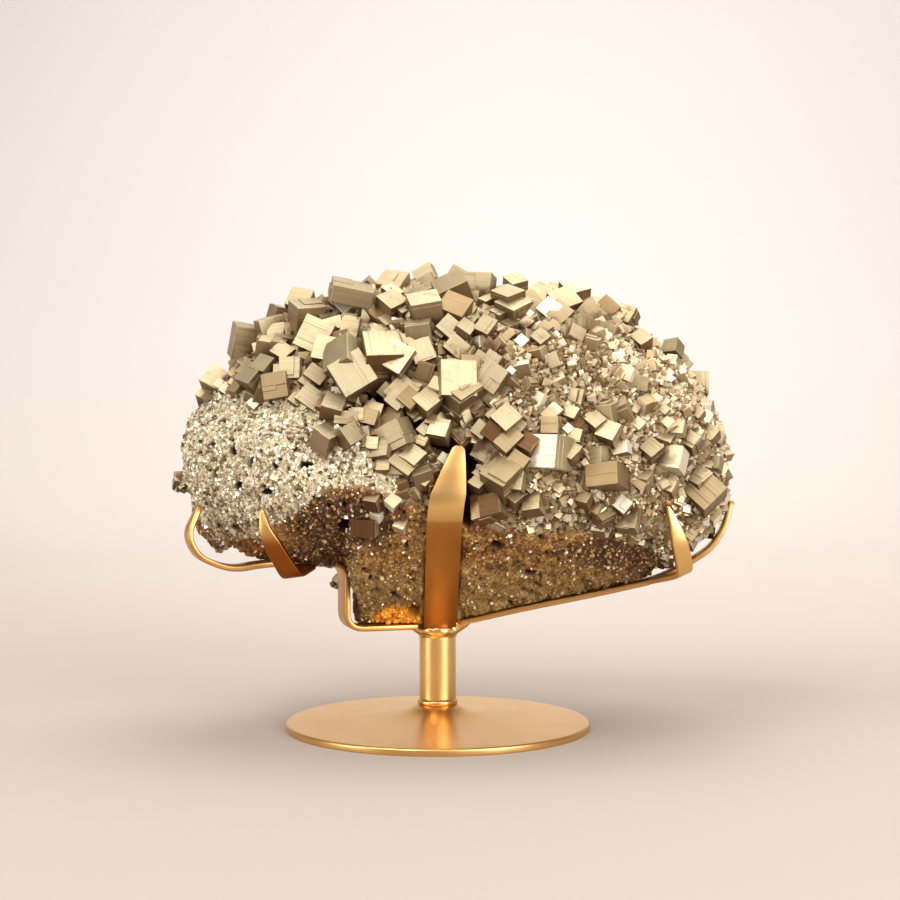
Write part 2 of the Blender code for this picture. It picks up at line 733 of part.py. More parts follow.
def build():
    clear_scene()
    part = new_collection("pyrite_specimen")
    crystals = new_collection("crystals")
    clearances = new_collection("clearances")
    helpers = new_collection("helpers")
    gold = finish_material("satin_gold", GOLD_FINISH)
    pyrite = finish_material("pyrite", PYRITE_FINISH)
    make_base_plate(part, gold)
    make_post(part, helpers, gold)
    strips = {
        "front_prong": FRONT_PRONG_EDGES,
        "left_arm": arm_rows(LEFT_ARM_PATH, LEFT_ARM_HEADING, -1, LEFT_ARM_TAPER),
        "left_prong": LEFT_PRONG_EDGES,
        "right_arm": arm_rows(RIGHT_ARM_PATH, RIGHT_ARM_HEADING, 1, RIGHT_ARM_TAPER),
        "right_prong": RIGHT_PRONG_EDGES,
        "rear_prong": REAR_PRONG_EDGES,
    }
    for name, rows in strips.items():
        make_strip(name, rows, part, clearances, gold)
    make_stone(part, crystals, clearances, pyrite)


build()
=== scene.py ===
# %% [markdown]
# # A pyrite cluster on its metal stand
# A lump of pyrite is a crowd of metal-bright cubes that grew on one another, over a rough brown
# rock. This lesson dresses a plain solid model of such a lump. The solid gives the sizes; here
# every surface gets its own form and finish. First the solid is opened as a fixed frame, and
# the box that it fills is kept, so that the crystals and grains can be held inside it.

# %% Open the frame
import math
import random

import bmesh
import bpy
import numpy as np
from mathutils import Matrix, Vector, noise
from mathutils.bvhtree import BVHTree


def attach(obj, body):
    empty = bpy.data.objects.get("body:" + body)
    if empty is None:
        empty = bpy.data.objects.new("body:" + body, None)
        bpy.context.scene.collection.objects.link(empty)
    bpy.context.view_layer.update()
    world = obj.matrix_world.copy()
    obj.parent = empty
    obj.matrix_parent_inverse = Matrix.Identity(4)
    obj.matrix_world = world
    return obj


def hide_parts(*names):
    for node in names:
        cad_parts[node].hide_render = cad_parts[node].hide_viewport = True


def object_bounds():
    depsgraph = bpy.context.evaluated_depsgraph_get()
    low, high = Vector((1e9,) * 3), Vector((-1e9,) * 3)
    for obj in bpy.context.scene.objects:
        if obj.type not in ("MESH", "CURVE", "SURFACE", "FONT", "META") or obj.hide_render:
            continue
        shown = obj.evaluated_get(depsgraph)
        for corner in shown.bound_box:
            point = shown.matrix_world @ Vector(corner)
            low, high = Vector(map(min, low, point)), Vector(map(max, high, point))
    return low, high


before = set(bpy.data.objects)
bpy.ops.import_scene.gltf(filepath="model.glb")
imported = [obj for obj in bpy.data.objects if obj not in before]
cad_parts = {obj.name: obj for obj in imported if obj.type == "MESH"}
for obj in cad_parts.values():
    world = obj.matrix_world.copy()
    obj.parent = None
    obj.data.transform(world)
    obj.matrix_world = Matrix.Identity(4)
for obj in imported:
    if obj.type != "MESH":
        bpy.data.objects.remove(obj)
cad_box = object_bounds()
MM = 0.001
print("nodes in the frame:", sorted(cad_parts))

# %% [markdown]
# ## The view
# A level camera with no tilt keeps upright lines upright, as product pictures do. It stands
# a little right of the post and at the height of the stone's middle. The focal length is
# chosen so that the stone fills about two thirds of a square picture.

# %% Place the camera
EYE = Vector((6.7, -830.0, 151.0))          # millimetres, like every length in this script
FOCAL_LENGTH = 60.8
camera_data = bpy.data.cameras.new("camera")
camera_data.sensor_width = 36.0
camera_data.lens = FOCAL_LENGTH
camera_data.clip_start = 0.01
camera = bpy.data.objects.new("camera", camera_data)
camera.location = EYE * MM
camera.rotation_euler = (math.pi / 2, 0, 0)
bpy.context.scene.collection.objects.link(camera)
bpy.context.scene.camera = camera
bpy.context.scene.view_settings.view_transform = "Standard"
print("camera at", [round(v, 3) for v in camera.location])

# %% [markdown]
# ## Light for metal
# Bright metal has hardly any colour of its own: it shows what stands around it. So the light
# matters more than any texture. A large soft panel on the upper left makes the pale faces, a
# narrow one below it makes the white glints, and the dim room between the panels leaves the
# other faces dark. The room is a gradient in the world's background, pale above and brown
# below, where a table would be.

# %% Make the room and the lamps
def rgb(red, green, blue):
    """A colour from the 0 to 255 values of a colour picker, made linear for a shader."""
    values = [v / 255 for v in (red, green, blue)]
    return tuple(v / 12.92 if v <= 0.04045 else ((v + 0.055) / 1.055) ** 2.4 for v in values) + (1.0,)


def add_node(tree, kind, inputs=None, **settings):
    """A shader node with its settings made and its inputs filled or linked."""
    node = tree.nodes.new(kind)
    for key, value in settings.items():
        setattr(node, key, value)
    for key, value in (inputs or {}).items():
        if isinstance(value, bpy.types.NodeSocket):
            tree.links.new(value, node.inputs[key])
        else:
            node.inputs[key].default_value = value
    return node


def ramp(tree, source, stops):
    """A colour ramp over a value. stops holds (place, colour or grey)."""
    node = add_node(tree, "ShaderNodeValToRGB", {"Fac": source})
    band = node.color_ramp
    while len(band.elements) < len(stops):
        band.elements.new(0.5)
    for element, (place, colour) in zip(band.elements, stops):
        element.position = place
        element.color = colour if isinstance(colour, tuple) else (colour, colour, colour, 1.0)
    return node.outputs["Color"]


world = bpy.data.worlds.new("room")
bpy.context.scene.world = world
world.use_nodes = True
sky = world.node_tree
direction = add_node(sky, "ShaderNodeTexCoord").outputs["Generated"]
height_part = add_node(sky, "ShaderNodeSeparateXYZ", {"Vector": direction}).outputs["Z"]
upward = add_node(sky, "ShaderNodeMapRange", {"Value": height_part, "From Min": -1.0}).outputs[0]
room_tones = ramp(sky, upward, [(0.0, rgb(96, 74, 58)), (0.46, rgb(126, 104, 82)),
                                (0.56, rgb(160, 149, 136)), (1.0, rgb(232, 228, 224))])
background = sky.nodes["Background"]
sky.links.new(room_tones, background.inputs["Color"])
background.inputs["Strength"].default_value = 0.62


def lamp(name, place, size, power, colour=(1.0, 0.98, 0.955), aim=(0, 0, 150), stretch=1.0):
    """A square or oblong soft panel that faces the stone."""
    data = bpy.data.lights.new(name, "AREA")
    data.shape = "RECTANGLE"
    data.size = size * MM
    data.size_y = size * stretch * MM
    data.energy = power
    data.color = colour
    made = bpy.data.objects.new(name, data)
    made.location = Vector(place) * MM
    made.rotation_mode = "QUATERNION"
    made.rotation_quaternion = (Vector(aim) - Vector(place)).to_track_quat("-Z", "Y")
    bpy.context.scene.collection.objects.link(made)


lamp("key_panel", (-600, -850, 1250), 900, 15.5)
lamp("top_panel", (200, 250, 1500), 1200, 11)
lamp("right_panel", (820, -780, 260), 380, 9.5, stretch=1.8)
lamp("left_panel", (-1120, -560, 170), 400, 7.2, stretch=1.5)
lamp("front_panel", (700, -1250, 700), 800, 9.0)
lamp("glint_panel", (-500, -1250, 880), 240, 2.2, stretch=1.4)
lamp("back_panel", (350, 500, 1500), 1500, 13.5, aim=(250, 1750, 120))

# %% [markdown]
# ## Floor and backdrop
# The floor is one plain sheet that curves up into a wall, as a photographer's paper does, so
# no edge crosses the picture. It is a flat strip of faces, bent by its own outline. The paper is
# a graduated one, a little deeper in tone at the front, so floor and wall look equally bright
# although the lamps light them unequally. It is no part of the specimen.

# %% Hang the backdrop
PAPER_HALF_WIDTH = 3200
PAPER_FRONT = -2600
PAPER_BEND_START = 1300
PAPER_BEND_RADIUS = 700
PAPER_TOP = 2600
outline = [(PAPER_FRONT, 0), (PAPER_BEND_START, 0)]
for step in range(1, 17):
    turn = math.pi / 2 * step / 16
    outline.append((PAPER_BEND_START + PAPER_BEND_RADIUS * math.sin(turn),
                    PAPER_BEND_RADIUS * (1 - math.cos(turn))))
outline.append((PAPER_BEND_START + PAPER_BEND_RADIUS, PAPER_TOP))
paper_form = bmesh.new()
paper_rows = [[paper_form.verts.new((side * PAPER_HALF_WIDTH * MM, y * MM, z * MM)) for side in (-1, 1)]
              for y, z in outline]
for (a, b), (c, d) in zip(paper_rows, paper_rows[1:]):
    paper_form.faces.new((a, b, d, c)).smooth = True
paper_mesh = bpy.data.meshes.new("backdrop")
paper_form.to_mesh(paper_mesh)
paper_form.free()
backdrop = bpy.data.objects.new("backdrop", paper_mesh)
bpy.context.scene.collection.objects.link(backdrop)
paper = bpy.data.materials.new("backdrop_paper")
paper.use_nodes = True
paper_tree = paper.node_tree
paper_shader = paper_tree.nodes["Principled BSDF"]
paper_run = add_node(paper_tree, "ShaderNodeSeparateXYZ", {
    "Vector": add_node(paper_tree, "ShaderNodeTexCoord").outputs["Object"]}).outputs["Y"]
paper_place = add_node(paper_tree, "ShaderNodeMapRange", {"Value": paper_run, "From Max": 2.0}).outputs[0]
paper_tone = ramp(paper_tree, paper_place, [(0.05, rgb(172, 161, 151)), (0.35, rgb(200, 190, 181)),
                                            (0.62, rgb(226, 217, 209)), (0.9, rgb(238, 230, 224)),
                                            (1.0, rgb(240, 236, 235))])
paper_tree.links.new(paper_tone, paper_shader.inputs["Base Color"])
paper_shader.inputs["Roughness"].default_value = 0.9
paper_mesh.materials.append(paper)
print("backdrop faces:", len(paper_mesh.polygons))

# %% [markdown]
# ## Satin gold
# The stand is welded steel or brass with a satin gold finish. A metal with a medium roughness
# smears its reflections into soft bands, which is the satin. Slow clouds of noise vary the
# roughness and the tone a little, as hand rubbing does. Turned pieces were polished further,
# and their gold is paler, as painted highlight. A value stored on the mesh says where the
# metal is painted a deeper orange, as a painted reflection of a dark table and of the shade
# under the stone.

# %% Mix the satin gold
def noise_texture(tree, vector, scale, detail):
    """A noise texture over given coordinates. scale is waves in one unit of them."""
    inputs = {"Vector": vector, "Scale": scale, "Detail": detail}
    return add_node(tree, "ShaderNodeTexNoise", inputs).outputs["Fac"]


def cloud(tree, scale, detail=3.0):
    """Noise over the object's own coordinates. scale is waves per metre."""
    place = add_node(tree, "ShaderNodeTexCoord").outputs["Object"]
    return noise_texture(tree, place, scale, detail)


def remap(tree, value, low, high, from_low=0.0, from_high=1.0):
    """Move a value from one span to another, held inside it."""
    return add_node(tree, "ShaderNodeMapRange", {
        "Value": value, "From Min": from_low, "From Max": from_high,
        "To Min": low, "To Max": high}).outputs[0]


def blend(tree, factor, first, second):
    """Mix two colours."""
    node = add_node(tree, "ShaderNodeMix", data_type="RGBA")
    for socket, value in ((node.inputs[0], factor), (node.inputs[6], first), (node.inputs[7], second)):
        if isinstance(value, bpy.types.NodeSocket):
            tree.links.new(value, socket)
        else:
            socket.default_value = value
    return node.outputs[2]


def math_node(tree, operation, *values):
    """One step of arithmetic on values or sockets."""
    return add_node(tree, "ShaderNodeMath", dict(enumerate(values)), operation=operation).outputs[0]


def new_material(name):
    """A material with its node tree and its Principled shader."""
    made = bpy.data.materials.new(name)
    made.use_nodes = True
    return made, made.node_tree, made.node_tree.nodes["Principled BSDF"]


def attribute(tree, label):
    """A value that was stored on the mesh."""
    return add_node(tree, "ShaderNodeAttribute", attribute_name=label).outputs["Fac"]


def mix_satin_gold(name, smoothest, roughest, pale=rgb(214, 166, 98), rich=rgb(228, 186, 120)):
    """Rubbed satin gold, painted a deeper orange where a stored value says, as a painted reflection."""
    gold, tree, shader = new_material(name)
    tone = blend(tree, cloud(tree, 28.0), pale, rich)
    # painted reflection: a deeper orange where the stored value says, for the dark table and the shade under
    # the stone
    tone = blend(tree, attribute(tree, "dark_reflection_tint"), tone, rgb(150, 84, 34))
    tree.links.new(tone, shader.inputs["Base Color"])
    shader.inputs["Metallic"].default_value = 1.0
    rubbed = remap(tree, cloud(tree, 70.0, 1.0), smoothest, roughest, 0.3, 0.7)
    tree.links.new(rubbed, shader.inputs["Roughness"])
    return gold


satin_gold = mix_satin_gold("satin_gold", 0.33, 0.38)
# the polished copy is smoother, and its paler gold is painted highlight
polished_gold = mix_satin_gold("polished_gold", 0.29, 0.34, rgb(222, 173, 107), rgb(236, 195, 132))
print("nodes in the gold:", len(satin_gold.node_tree.nodes))

# %% [markdown]
# ## The base and the post
# Both are turned on a lathe, so each is a profile of radius and height, and the Screw modifier
# sweeps it round. The base's profile rises in a shallow flare towards the post, and its rim has
# a small radius, because a sharp rim would catch no light.

# %% Turn the base and the post
BASE_RADIUS = 82.5
BASE_RIM_THICKNESS = 3.8
BASE_RIM_ROUND = 1.2                       # radius of the rim's upper edge
BASE_FOOT_ROUND = 0.6                      # and of its lower edge
BASE_CENTRE_HEIGHT = 12.6
POST_RADIUS = 10.0
WELD_TOP = 54.0
LATHE_STEPS = 180
COLLAR_STEPS = 120


def show(name, mesh, material, node=None):
    """Put a finished piece in the scene and tell the frame what it is."""
    made = bpy.data.objects.new(name, mesh)
    bpy.context.scene.collection.objects.link(made)
    if not mesh.materials:
        mesh.materials.append(material)
    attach(made, "root")
    if node:
        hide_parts(node)
    return made


def settled_mesh(name, form, modifiers):
    """Run modifiers on a form and keep the result as a plain mesh."""
    mesh = bpy.data.meshes.new(name)
    form.to_mesh(mesh)
    form.free()
    helper = bpy.data.objects.new(name + "_helper", mesh)
    bpy.context.scene.collection.objects.link(helper)
    for kind, settings in modifiers:
        modifier = helper.modifiers.new(kind.title(), kind)
        for key, value in settings.items():
            setattr(modifier, key, value)
    graph = bpy.context.evaluated_depsgraph_get()
    result = bpy.data.meshes.new_from_object(helper.evaluated_get(graph))
    result.name = name
    bpy.data.objects.remove(helper)
    bpy.data.meshes.remove(mesh)
    return result


def turned_mesh(name, profile, steps=LATHE_STEPS):
    """Turn a profile of (radius, height), top to bottom, about the Z axis."""
    form = bmesh.new()
    points = [form.verts.new((r * MM, 0, z * MM)) for r, z in profile]
    for upper, lower in zip(points, points[1:]):
        form.edges.new((upper, lower))
    screw = ("SCREW", {"axis": "Z", "angle": math.tau, "steps": steps, "render_steps": steps,
                       "use_merge_vertices": True, "merge_threshold": 0.00002,
                       "use_smooth_shade": True})
    return settled_mesh(name, form, [screw])


def base_profile():
    """From the middle of the top, down the flare, round the rim and back underneath."""
    top, rim = BASE_CENTRE_HEIGHT, BASE_RIM_THICKNESS
    inner, outer = POST_RADIUS + 1.2, BASE_RADIUS - 1.4
    flare = []
    for step in range(26):
        t = step / 25
        fall = 0.62 * (1 - math.exp(-9.0 * t)) / (1 - math.exp(-9.0)) + 0.38 * t
        flare.append((inner + (outer - inner) * t, top - (top - rim) * fall))
    edge = [(BASE_RADIUS - BASE_RIM_ROUND * (1 - math.sin(a)), rim - BASE_RIM_ROUND * (1 - math.cos(a)))
            for a in map(math.radians, range(10, 91, 16))]
    foot = [(BASE_RADIUS - BASE_FOOT_ROUND * (1 - math.cos(a)), BASE_FOOT_ROUND * (1 - math.sin(a)))
            for a in map(math.radians, range(0, 91, 30))]
    return [(0, top), (POST_RADIUS, top)] + flare + edge + foot + [(0, 0)]


base_mesh = turned_mesh("base_plate_dressed", base_profile())
base_mesh.set_sharp_from_angle(angle=math.radians(50))
show("base_plate_dressed", base_mesh, satin_gold, "base_plate")


def post_profile():
    """The plain round bar, with a fine break where it meets each weld."""
    top, foot = WELD_TOP - 1.0, BASE_CENTRE_HEIGHT + 0.3
    return [(0, top), (POST_RADIUS - 1, top), (POST_RADIUS, top - 1.2)] + [
        (POST_RADIUS, top - 1.2 - (top - foot - 2.0) * t / 12) for t in range(1, 13)] + [
        (POST_RADIUS - 0.2, foot), (0, foot)]


post_mesh = turned_mesh("post_dressed", post_profile())
post_mesh.set_sharp_from_angle(angle=math.radians(40))
show("post_dressed", post_mesh, polished_gold, "post")
print("base and post faces:", len(base_mesh.polygons), len(post_mesh.polygons))

# %% [markdown]
# ## Welds
# Where the post meets the base, and where the four strips meet on the post, weld metal was
# laid down and rubbed smooth. A collar of weld is turned like the post, with many rows, and
# then each point is moved in or out by smooth noise, so it ripples. The blobs that run over
# onto the strips are balls: the Remesh modifier shrinks one skin over them and Smooth melts
# them together.

# %% Lay the welds
def rippled_mesh(name, profile, ripple, size, seed):
    """A turned collar whose surface is moved in and out by smooth noise."""
    mesh = turned_mesh(name, profile, COLLAR_STEPS)
    for vert in mesh.vertices:
        outward = Vector((vert.co.x, vert.co.y, 0))
        if outward.length > 0.004:
            wave = noise.noise(vert.co / (size * MM) + Vector((seed, 0, 0)))
            vert.co += outward.normalized() * wave * ripple * MM
            vert.co.z += wave * ripple * 0.4 * MM
    mesh.shade_smooth()
    return mesh


def arc_profile(inner, outer, low, high, rows=10):
    """A rounded collar between two radii and two heights, top to bottom."""
    bulge = [(inner + (outer - inner) * math.sin(math.pi * t / rows) ** 0.7,
              high - (high - low) * t / rows) for t in range(rows + 1)]
    return [(0, high)] + bulge + [(0, low)]


def puddle(name, balls, voxel=0.4, melt=60):
    """One smooth skin over many balls given as (place, radius)."""
    form = bmesh.new()
    for place, radius in balls:
        bmesh.ops.create_icosphere(form, subdivisions=3, radius=radius * MM,
                                   matrix=Matrix.Translation(Vector(place) * MM))
    remesh = ("REMESH", {"mode": "VOXEL", "voxel_size": voxel * MM, "use_smooth_shade": True})
    smooth = ("SMOOTH", {"factor": 0.5, "iterations": melt})
    return settled_mesh(name, form, [remesh, smooth])


foot_weld = show("foot_weld", rippled_mesh("foot_weld", arc_profile(
    POST_RADIUS - 0.5, POST_RADIUS + 1.1, BASE_CENTRE_HEIGHT - 0.4, BASE_CENTRE_HEIGHT + 3.4),
    0.3, 4.5, 3.0), polished_gold)
top_weld = show("top_weld", rippled_mesh("top_weld", arc_profile(
    POST_RADIUS - 2.6, POST_RADIUS + 0.6, WELD_TOP - 6.8, WELD_TOP + 1.6),
    0.5, 7.0, 8.0), polished_gold)


def weld_balls():
    """Balls for the weld on top of the post, as (place, radius)."""
    balls = [((0.5, -5.0, 53.4), 4.6), ((0.5, 4.5, 53.4), 4.6), ((-5.5, 5.5, 53.0), 3.2),
             ((5.5, 5.5, 53.0), 3.2)]
    for step in range(13):                 # round the front of the post
        turn = math.radians(200 + 140 * step / 12)
        place = (9.2 * math.cos(turn), 0.2 + 9.2 * math.sin(turn), 53.2 + 0.5 * math.sin(2.3 * step))
        balls.append((place, 3.1 + 0.25 * math.cos(1.7 * step)))
    for step in range(6):                  # up along the right arm
        balls.append(((8.4 + 1.5 * step, -4.6 + 0.35 * step, 53.4 + 0.75 * step), 3.2 - 0.2 * step))
    balls += [((9.6, -5.2, 56.4), 2.8), ((12.0, -4.6, 57.6), 2.6)]
    for step in range(4):                  # out along the left arm
        balls.append(((-8.6 - 1.1 * step, -3.6 + 0.5 * step, 53.2 + 0.2 * step), 3.0 - 0.25 * step))
    return balls


weld_blobs = show("weld_blobs", puddle("weld_blobs", weld_balls()), polished_gold)
print("weld faces:", [len(w.data.polygons) for w in (foot_weld, top_weld, weld_blobs)])

# %% [markdown]
# ## The bent strips
# Every arm and prong is flat bar, bent cold and ground to a blunt tip. A strip is drawn as an
# open ribbon between its two long edges; Solidify gives the thickness and Bevel rounds the
# edges, so each catches a thin bright line. Arms bend in one upright plane, so a path of
# distance and height is enough for them; prongs are given by both of their edges.

# %% Bend the strips
STRIP_WIDTH = 17.5
STRIP_THICKNESS = 3.0
STRIP_EDGE_RADIUS = 0.75
ARM_TIP_WIDTH = 5.0
LEFT_ARM_HEADING = 17.7                    # degrees that the arm swings towards the front
RIGHT_ARM_HEADING = 7.0
LEFT_ARM_TAPER = 30.0                      # length over which the arm narrows to its tip
RIGHT_ARM_TAPER = 34.0
BEND_RADIUS = 9.0


def rounded_path(points, radius, steps=7):
    """Replace each inner corner of a path by a short curve that starts radius away."""
    path = [Vector(points[0])]
    for before, corner, after in zip(points, points[1:], points[2:]):
        corner = Vector(corner)
        back = Vector(before) - corner
        ahead = Vector(after) - corner
        reach = min(radius, back.length * 0.45, ahead.length * 0.45)
        start = corner + back.normalized() * reach
        end = corner + ahead.normalized() * reach
        for step in range(steps + 1):
            t = step / steps
            path.append(start * (1 - t) ** 2 + corner * 2 * t * (1 - t) + end * t ** 2)
    path.append(Vector(points[-1]))
    return path


def arm_rows(path, heading, side, taper_length):
    """Edges of an arm from a path of (distance from the post, height)."""
    turn = math.radians(heading)
    along = Vector((side * math.cos(turn), -math.sin(turn), 0))
    across = Vector((math.sin(turn) * side, math.cos(turn), 0))
    points = rounded_path(path, BEND_RADIUS)
    for share in (0.75, 0.5, 0.25):
        points.insert(len(points) - 1, points[-2].lerp(points[-1], 1 - share))
    lengths = [(b - a).length for a, b in zip(points, points[1:])]
    rows = []
    for index, point in enumerate(points):
        share = min(1.0, sum(lengths[index:]) / taper_length) ** 0.6
        half = 0.5 * (ARM_TIP_WIDTH + (STRIP_WIDTH - ARM_TIP_WIDTH) * share)
        middle = along * point.x + Vector((0, 0, point.y))
        rows.append((middle - across * half, middle + across * half))
    return rows


def eased_rows(rows, steps=5):
    """Pass a smooth curve through both edges of a prong."""
    eased = []
    pairs = [(Vector(a), Vector(b)) for a, b in rows]
    for index in range(len(pairs) - 1):
        before = pairs[max(index - 1, 0)]
        start, end = pairs[index], pairs[index + 1]
        after = pairs[min(index + 2, len(pairs) - 1)]
        for step in range(steps):
            t = step / steps
            row = []
            for p, a, b, q in zip(before, start, end, after):
                lead, trail = (b - p) * 0.35, (q - a) * 0.35
                row.append(a * (2 * t ** 3 - 3 * t ** 2 + 1) + lead * (t ** 3 - 2 * t ** 2 + t)
                           + b * (3 * t ** 2 - 2 * t ** 3) + trail * (t ** 3 - t ** 2))
            eased.append(tuple(row))
    eased.append(pairs[-1])
    return eased


def strip_form(rows):
    """An open ribbon between the two edges."""
    form = bmesh.new()
    pairs = [(form.verts.new(Vector(a) * MM), form.verts.new(Vector(b) * MM)) for a, b in rows]
    for (a, b), (c, d) in zip(pairs, pairs[1:]):
        form.faces.new((a, b, d, c))
    return form


def strip_piece(node, rows, darkened_below=None, warmth=0.0):
    """A rounded metal strip in place of one of the frame's strips.

    Of the two keywords, the first gives two heights and a strength: below the first height the
    metal is painted a deeper orange with that strength, as a painted reflection of dark
    surroundings, above the second not. warmth is the painted darkening that the whole strip has.
    """
    name = node + "_dressed"
    solidify = ("SOLIDIFY", {"thickness": STRIP_THICKNESS * MM, "offset": 0.0, "use_even_offset": True})
    bevel = ("BEVEL", {"width": STRIP_EDGE_RADIUS * MM, "segments": 3, "limit_method": "ANGLE",
                       "angle_limit": math.radians(60)})
    mesh = settled_mesh(name, strip_form(rows), [solidify, bevel])
    mesh.shade_smooth()
    mesh.set_sharp_from_angle(angle=math.radians(42))
    low, high, strength = darkened_below or (-2.0, -1.0, 0.0)
    tint = [max(warmth, strength * min(1.0, (high - v.co.z / MM) / (high - low))) for v in mesh.vertices]
    mesh.attributes.new("dark_reflection_tint", "FLOAT", "POINT").data.foreach_set("value", tint)
    return show(name, mesh, satin_gold, node)


LEFT_ARM_PATH = [(13.4, 55.8), (52.5, 55.8), (52.5, 90.6), (96, 91.4), (114, 88.4), (131, 95.5),
                 (136.6, 107), (129.6, 122)]
RIGHT_ARM_PATH = [(13.0, 57.6), (45, 65.2), (88, 74.4), (116, 81.0), (129, 86.8), (147, 98.6),
                  (154, 109.5), (158, 124)]
FRONT_PRONG_EDGES = [
    ((-7.4, -9.6, 56.5), (10.0, -9.6, 56.5)),
    ((-6.0, -48.0, 88.4), (11.5, -48.0, 88.4)),
    ((-4.9, -79.0, 113.8), (12.6, -79.0, 113.8)),
    ((-4.5, -83.6, 118.2), (13.0, -83.6, 118.2)),
    ((-3.9, -86.0, 123.2), (13.6, -86.0, 123.2)),
    ((-2.6, -86.2, 129.6), (14.5, -86.2, 129.6)),
    ((2.6, -84.9, 141.0), (14.5, -84.9, 141.0)),
    ((6.2, -83.4, 148.4), (14.2, -83.4, 147.9)),
    ((8.0, -82.3, 151.9), (13.8, -82.3, 151.2)),
    ((9.6, -82.0, 153.0), (12.4, -82.0, 152.6)),
]
REAR_PRONG_EDGES = [
    ((8.7, 9.6, 56.5), (-8.7, 9.6, 56.5)),
    ((8.7, 48.0, 88.4), (-8.7, 48.0, 88.4)),
    ((8.7, 83.5, 117.6), (-8.7, 83.5, 117.6)),
    ((8.7, 86.5, 121.5), (-8.7, 86.5, 121.5)),
    ((8.0, 85.9, 129.6), (-7.4, 85.9, 129.6)),
    ((5.6, 84.5, 141.0), (-4.2, 84.5, 141.0)),
    ((2.2, 83.0, 149.5), (-1.4, 83.0, 149.5)),
]
LEFT_PRONG_EDGES = [
    ((-76.5, -33.6, 90.4), (-63.0, -37.9, 90.4)),
    ((-77.8, -52.0, 86.6), (-67.6, -54.5, 88.0)),
    ((-80.2, -58.4, 88.6), (-69.9, -60.5, 90.6)),
    ((-86.2, -66.0, 102.2), (-77.6, -67.6, 103.8)),
    ((-88.6, -67.5, 110.4), (-83.0, -68.6, 112.0)),
    ((-88.8, -66.0, 120.6), (-86.6, -66.6, 121.0)),
]
RIGHT_PRONG_EDGES = [
    ((111.6, -22.9, 80.8), (124.6, -24.5, 84.8)),
    ((121.8, -50.5, 86.0), (130.2, -48.0, 89.6)),
    ((121.9, -57.0, 90.4), (130.0, -54.6, 93.6)),
    ((118.8, -63.0, 103.0), (126.8, -61.2, 104.8)),
    ((117.2, -64.5, 113.0), (122.4, -63.2, 114.0)),
    ((115.4, -63.5, 122.6), (117.4, -63.2, 122.8)),
]
STRIP_ROWS = {
    "left_arm": arm_rows(LEFT_ARM_PATH, LEFT_ARM_HEADING, -1, LEFT_ARM_TAPER),
    "right_arm": arm_rows(RIGHT_ARM_PATH, RIGHT_ARM_HEADING, 1, RIGHT_ARM_TAPER),
    "front_prong": eased_rows(FRONT_PRONG_EDGES),
    "rear_prong": eased_rows(REAR_PRONG_EDGES),
    "left_prong": eased_rows(LEFT_PRONG_EDGES),
    "right_prong": eased_rows(RIGHT_PRONG_EDGES),
}
# painted reflection of the dark table and of the shade under the stone: the arms darker all over, the front
# and left prongs low down
STRIP_TINTS = {
    "left_arm": {"warmth": 0.42},
    "right_arm": {"warmth": 0.3},
    "front_prong": {"darkened_below": (62.0, 86.0, 0.7)},
    "left_prong": {"darkened_below": (104.0, 111.0, 1.0)},
}
strips = [strip_piece(node, rows, **STRIP_TINTS.get(node, {})) for node, rows in STRIP_ROWS.items()]
print("strips:", [s.name for s in strips])

# %% [markdown]
# ## The rock under the crystals
# The rock is drawn by sections from left to right, each with its top, underside, reach and
# fullness, as a boat is drawn by its frames. A sphere whose poles lie at the two ends has just
# the right rows of points, so each row is moved to its section. Slow noise then makes it lumpy.
# The same form serves twice: coarse, to say where crystals stand, and fine, to be seen. Blender
# may list a new sphere's faces in another order each time, and the draws that follow go by that
# order, so the sphere is first built again in one order.

# %% Draw the rock's sections
# place, top, bottom, reach to the front, reach to the back, widest height, fullness below
ROCK_SECTIONS = [
    (-136, 162, 124, 14, 14, 146, 2.0),
    (-131, 172, 108, 25, 25, 143, 1.9),
    (-122, 181, 99, 36, 36, 140, 1.8),
    (-110, 196, 95, 47, 46, 137, 1.7),
    (-96, 209, 92, 57, 55, 134, 1.7),
    (-82, 221, 90, 65, 63, 131, 1.7),
    (-68, 228, 90, 71, 69, 129, 1.6),
    (-56, 232, 88, 75, 73, 128, 1.5),
    (-47, 235, 86, 77, 76, 127, 1.4),
    (-42, 236, 62, 79, 78, 126, 1.25),
    (-30, 237, 58, 80, 80, 126, 1.2),
    (-16, 239, 57.8, 81, 82, 125, 1.2),
    (0, 240, 57.8, 82, 83, 125, 1.2),
    (16, 238, 61, 83, 83, 124, 1.2),
    (34, 235, 65.5, 83, 83, 124, 1.2),
    (52, 232, 69.5, 82, 81, 124, 1.2),
    (70, 229, 73.5, 80, 78, 124, 1.25),
    (88, 224, 77.5, 76, 74, 124, 1.3),
    (105, 216, 82, 70, 69, 124, 1.35),
    (120, 205, 87, 63, 62, 126, 1.4),
    (133, 193, 93, 54, 54, 129, 1.5),
    (144, 180, 104, 43, 43, 133, 1.7),
    (152, 166, 119, 29, 29, 139, 1.9),
    (156, 156, 132, 15, 15, 144, 2.0),
]
ROCK_ENDS = (-139, 158)
ROCK_END_HEIGHTS = (147, 145)
ROCK_RING = 28
DOME_FULLNESS = 2.3
# swellings and hollows of the front: place, height, spread along X, spread along Z, size
ROCK_LUMPS = [
    (-78, 146, 44, 26, 7),
    (-112, 150, 20, 20, 3),
    (-24, 168, 14, 14, -7),
    (-2, 152, 14, 12, -5),
    (96, 190, 40, 26, 4),
    (60, 140, 50, 12, 3),
    (20, 92, 12, 16, 2),
]
ROCK_GRAIN = 26.0
ROCK_ROUGHNESS = 4.2
ROCK_JITTER = 2.2
ROCK_SEED = 5


def lump_size(place, height):
    """How far the swellings and hollows push the front out at a point."""
    total = 0.0
    for x, z, spread_x, spread_z, size in ROCK_LUMPS:
        total += size * math.exp(-((place - x) / spread_x) ** 2 - ((height - z) / spread_z) ** 2)
    return total


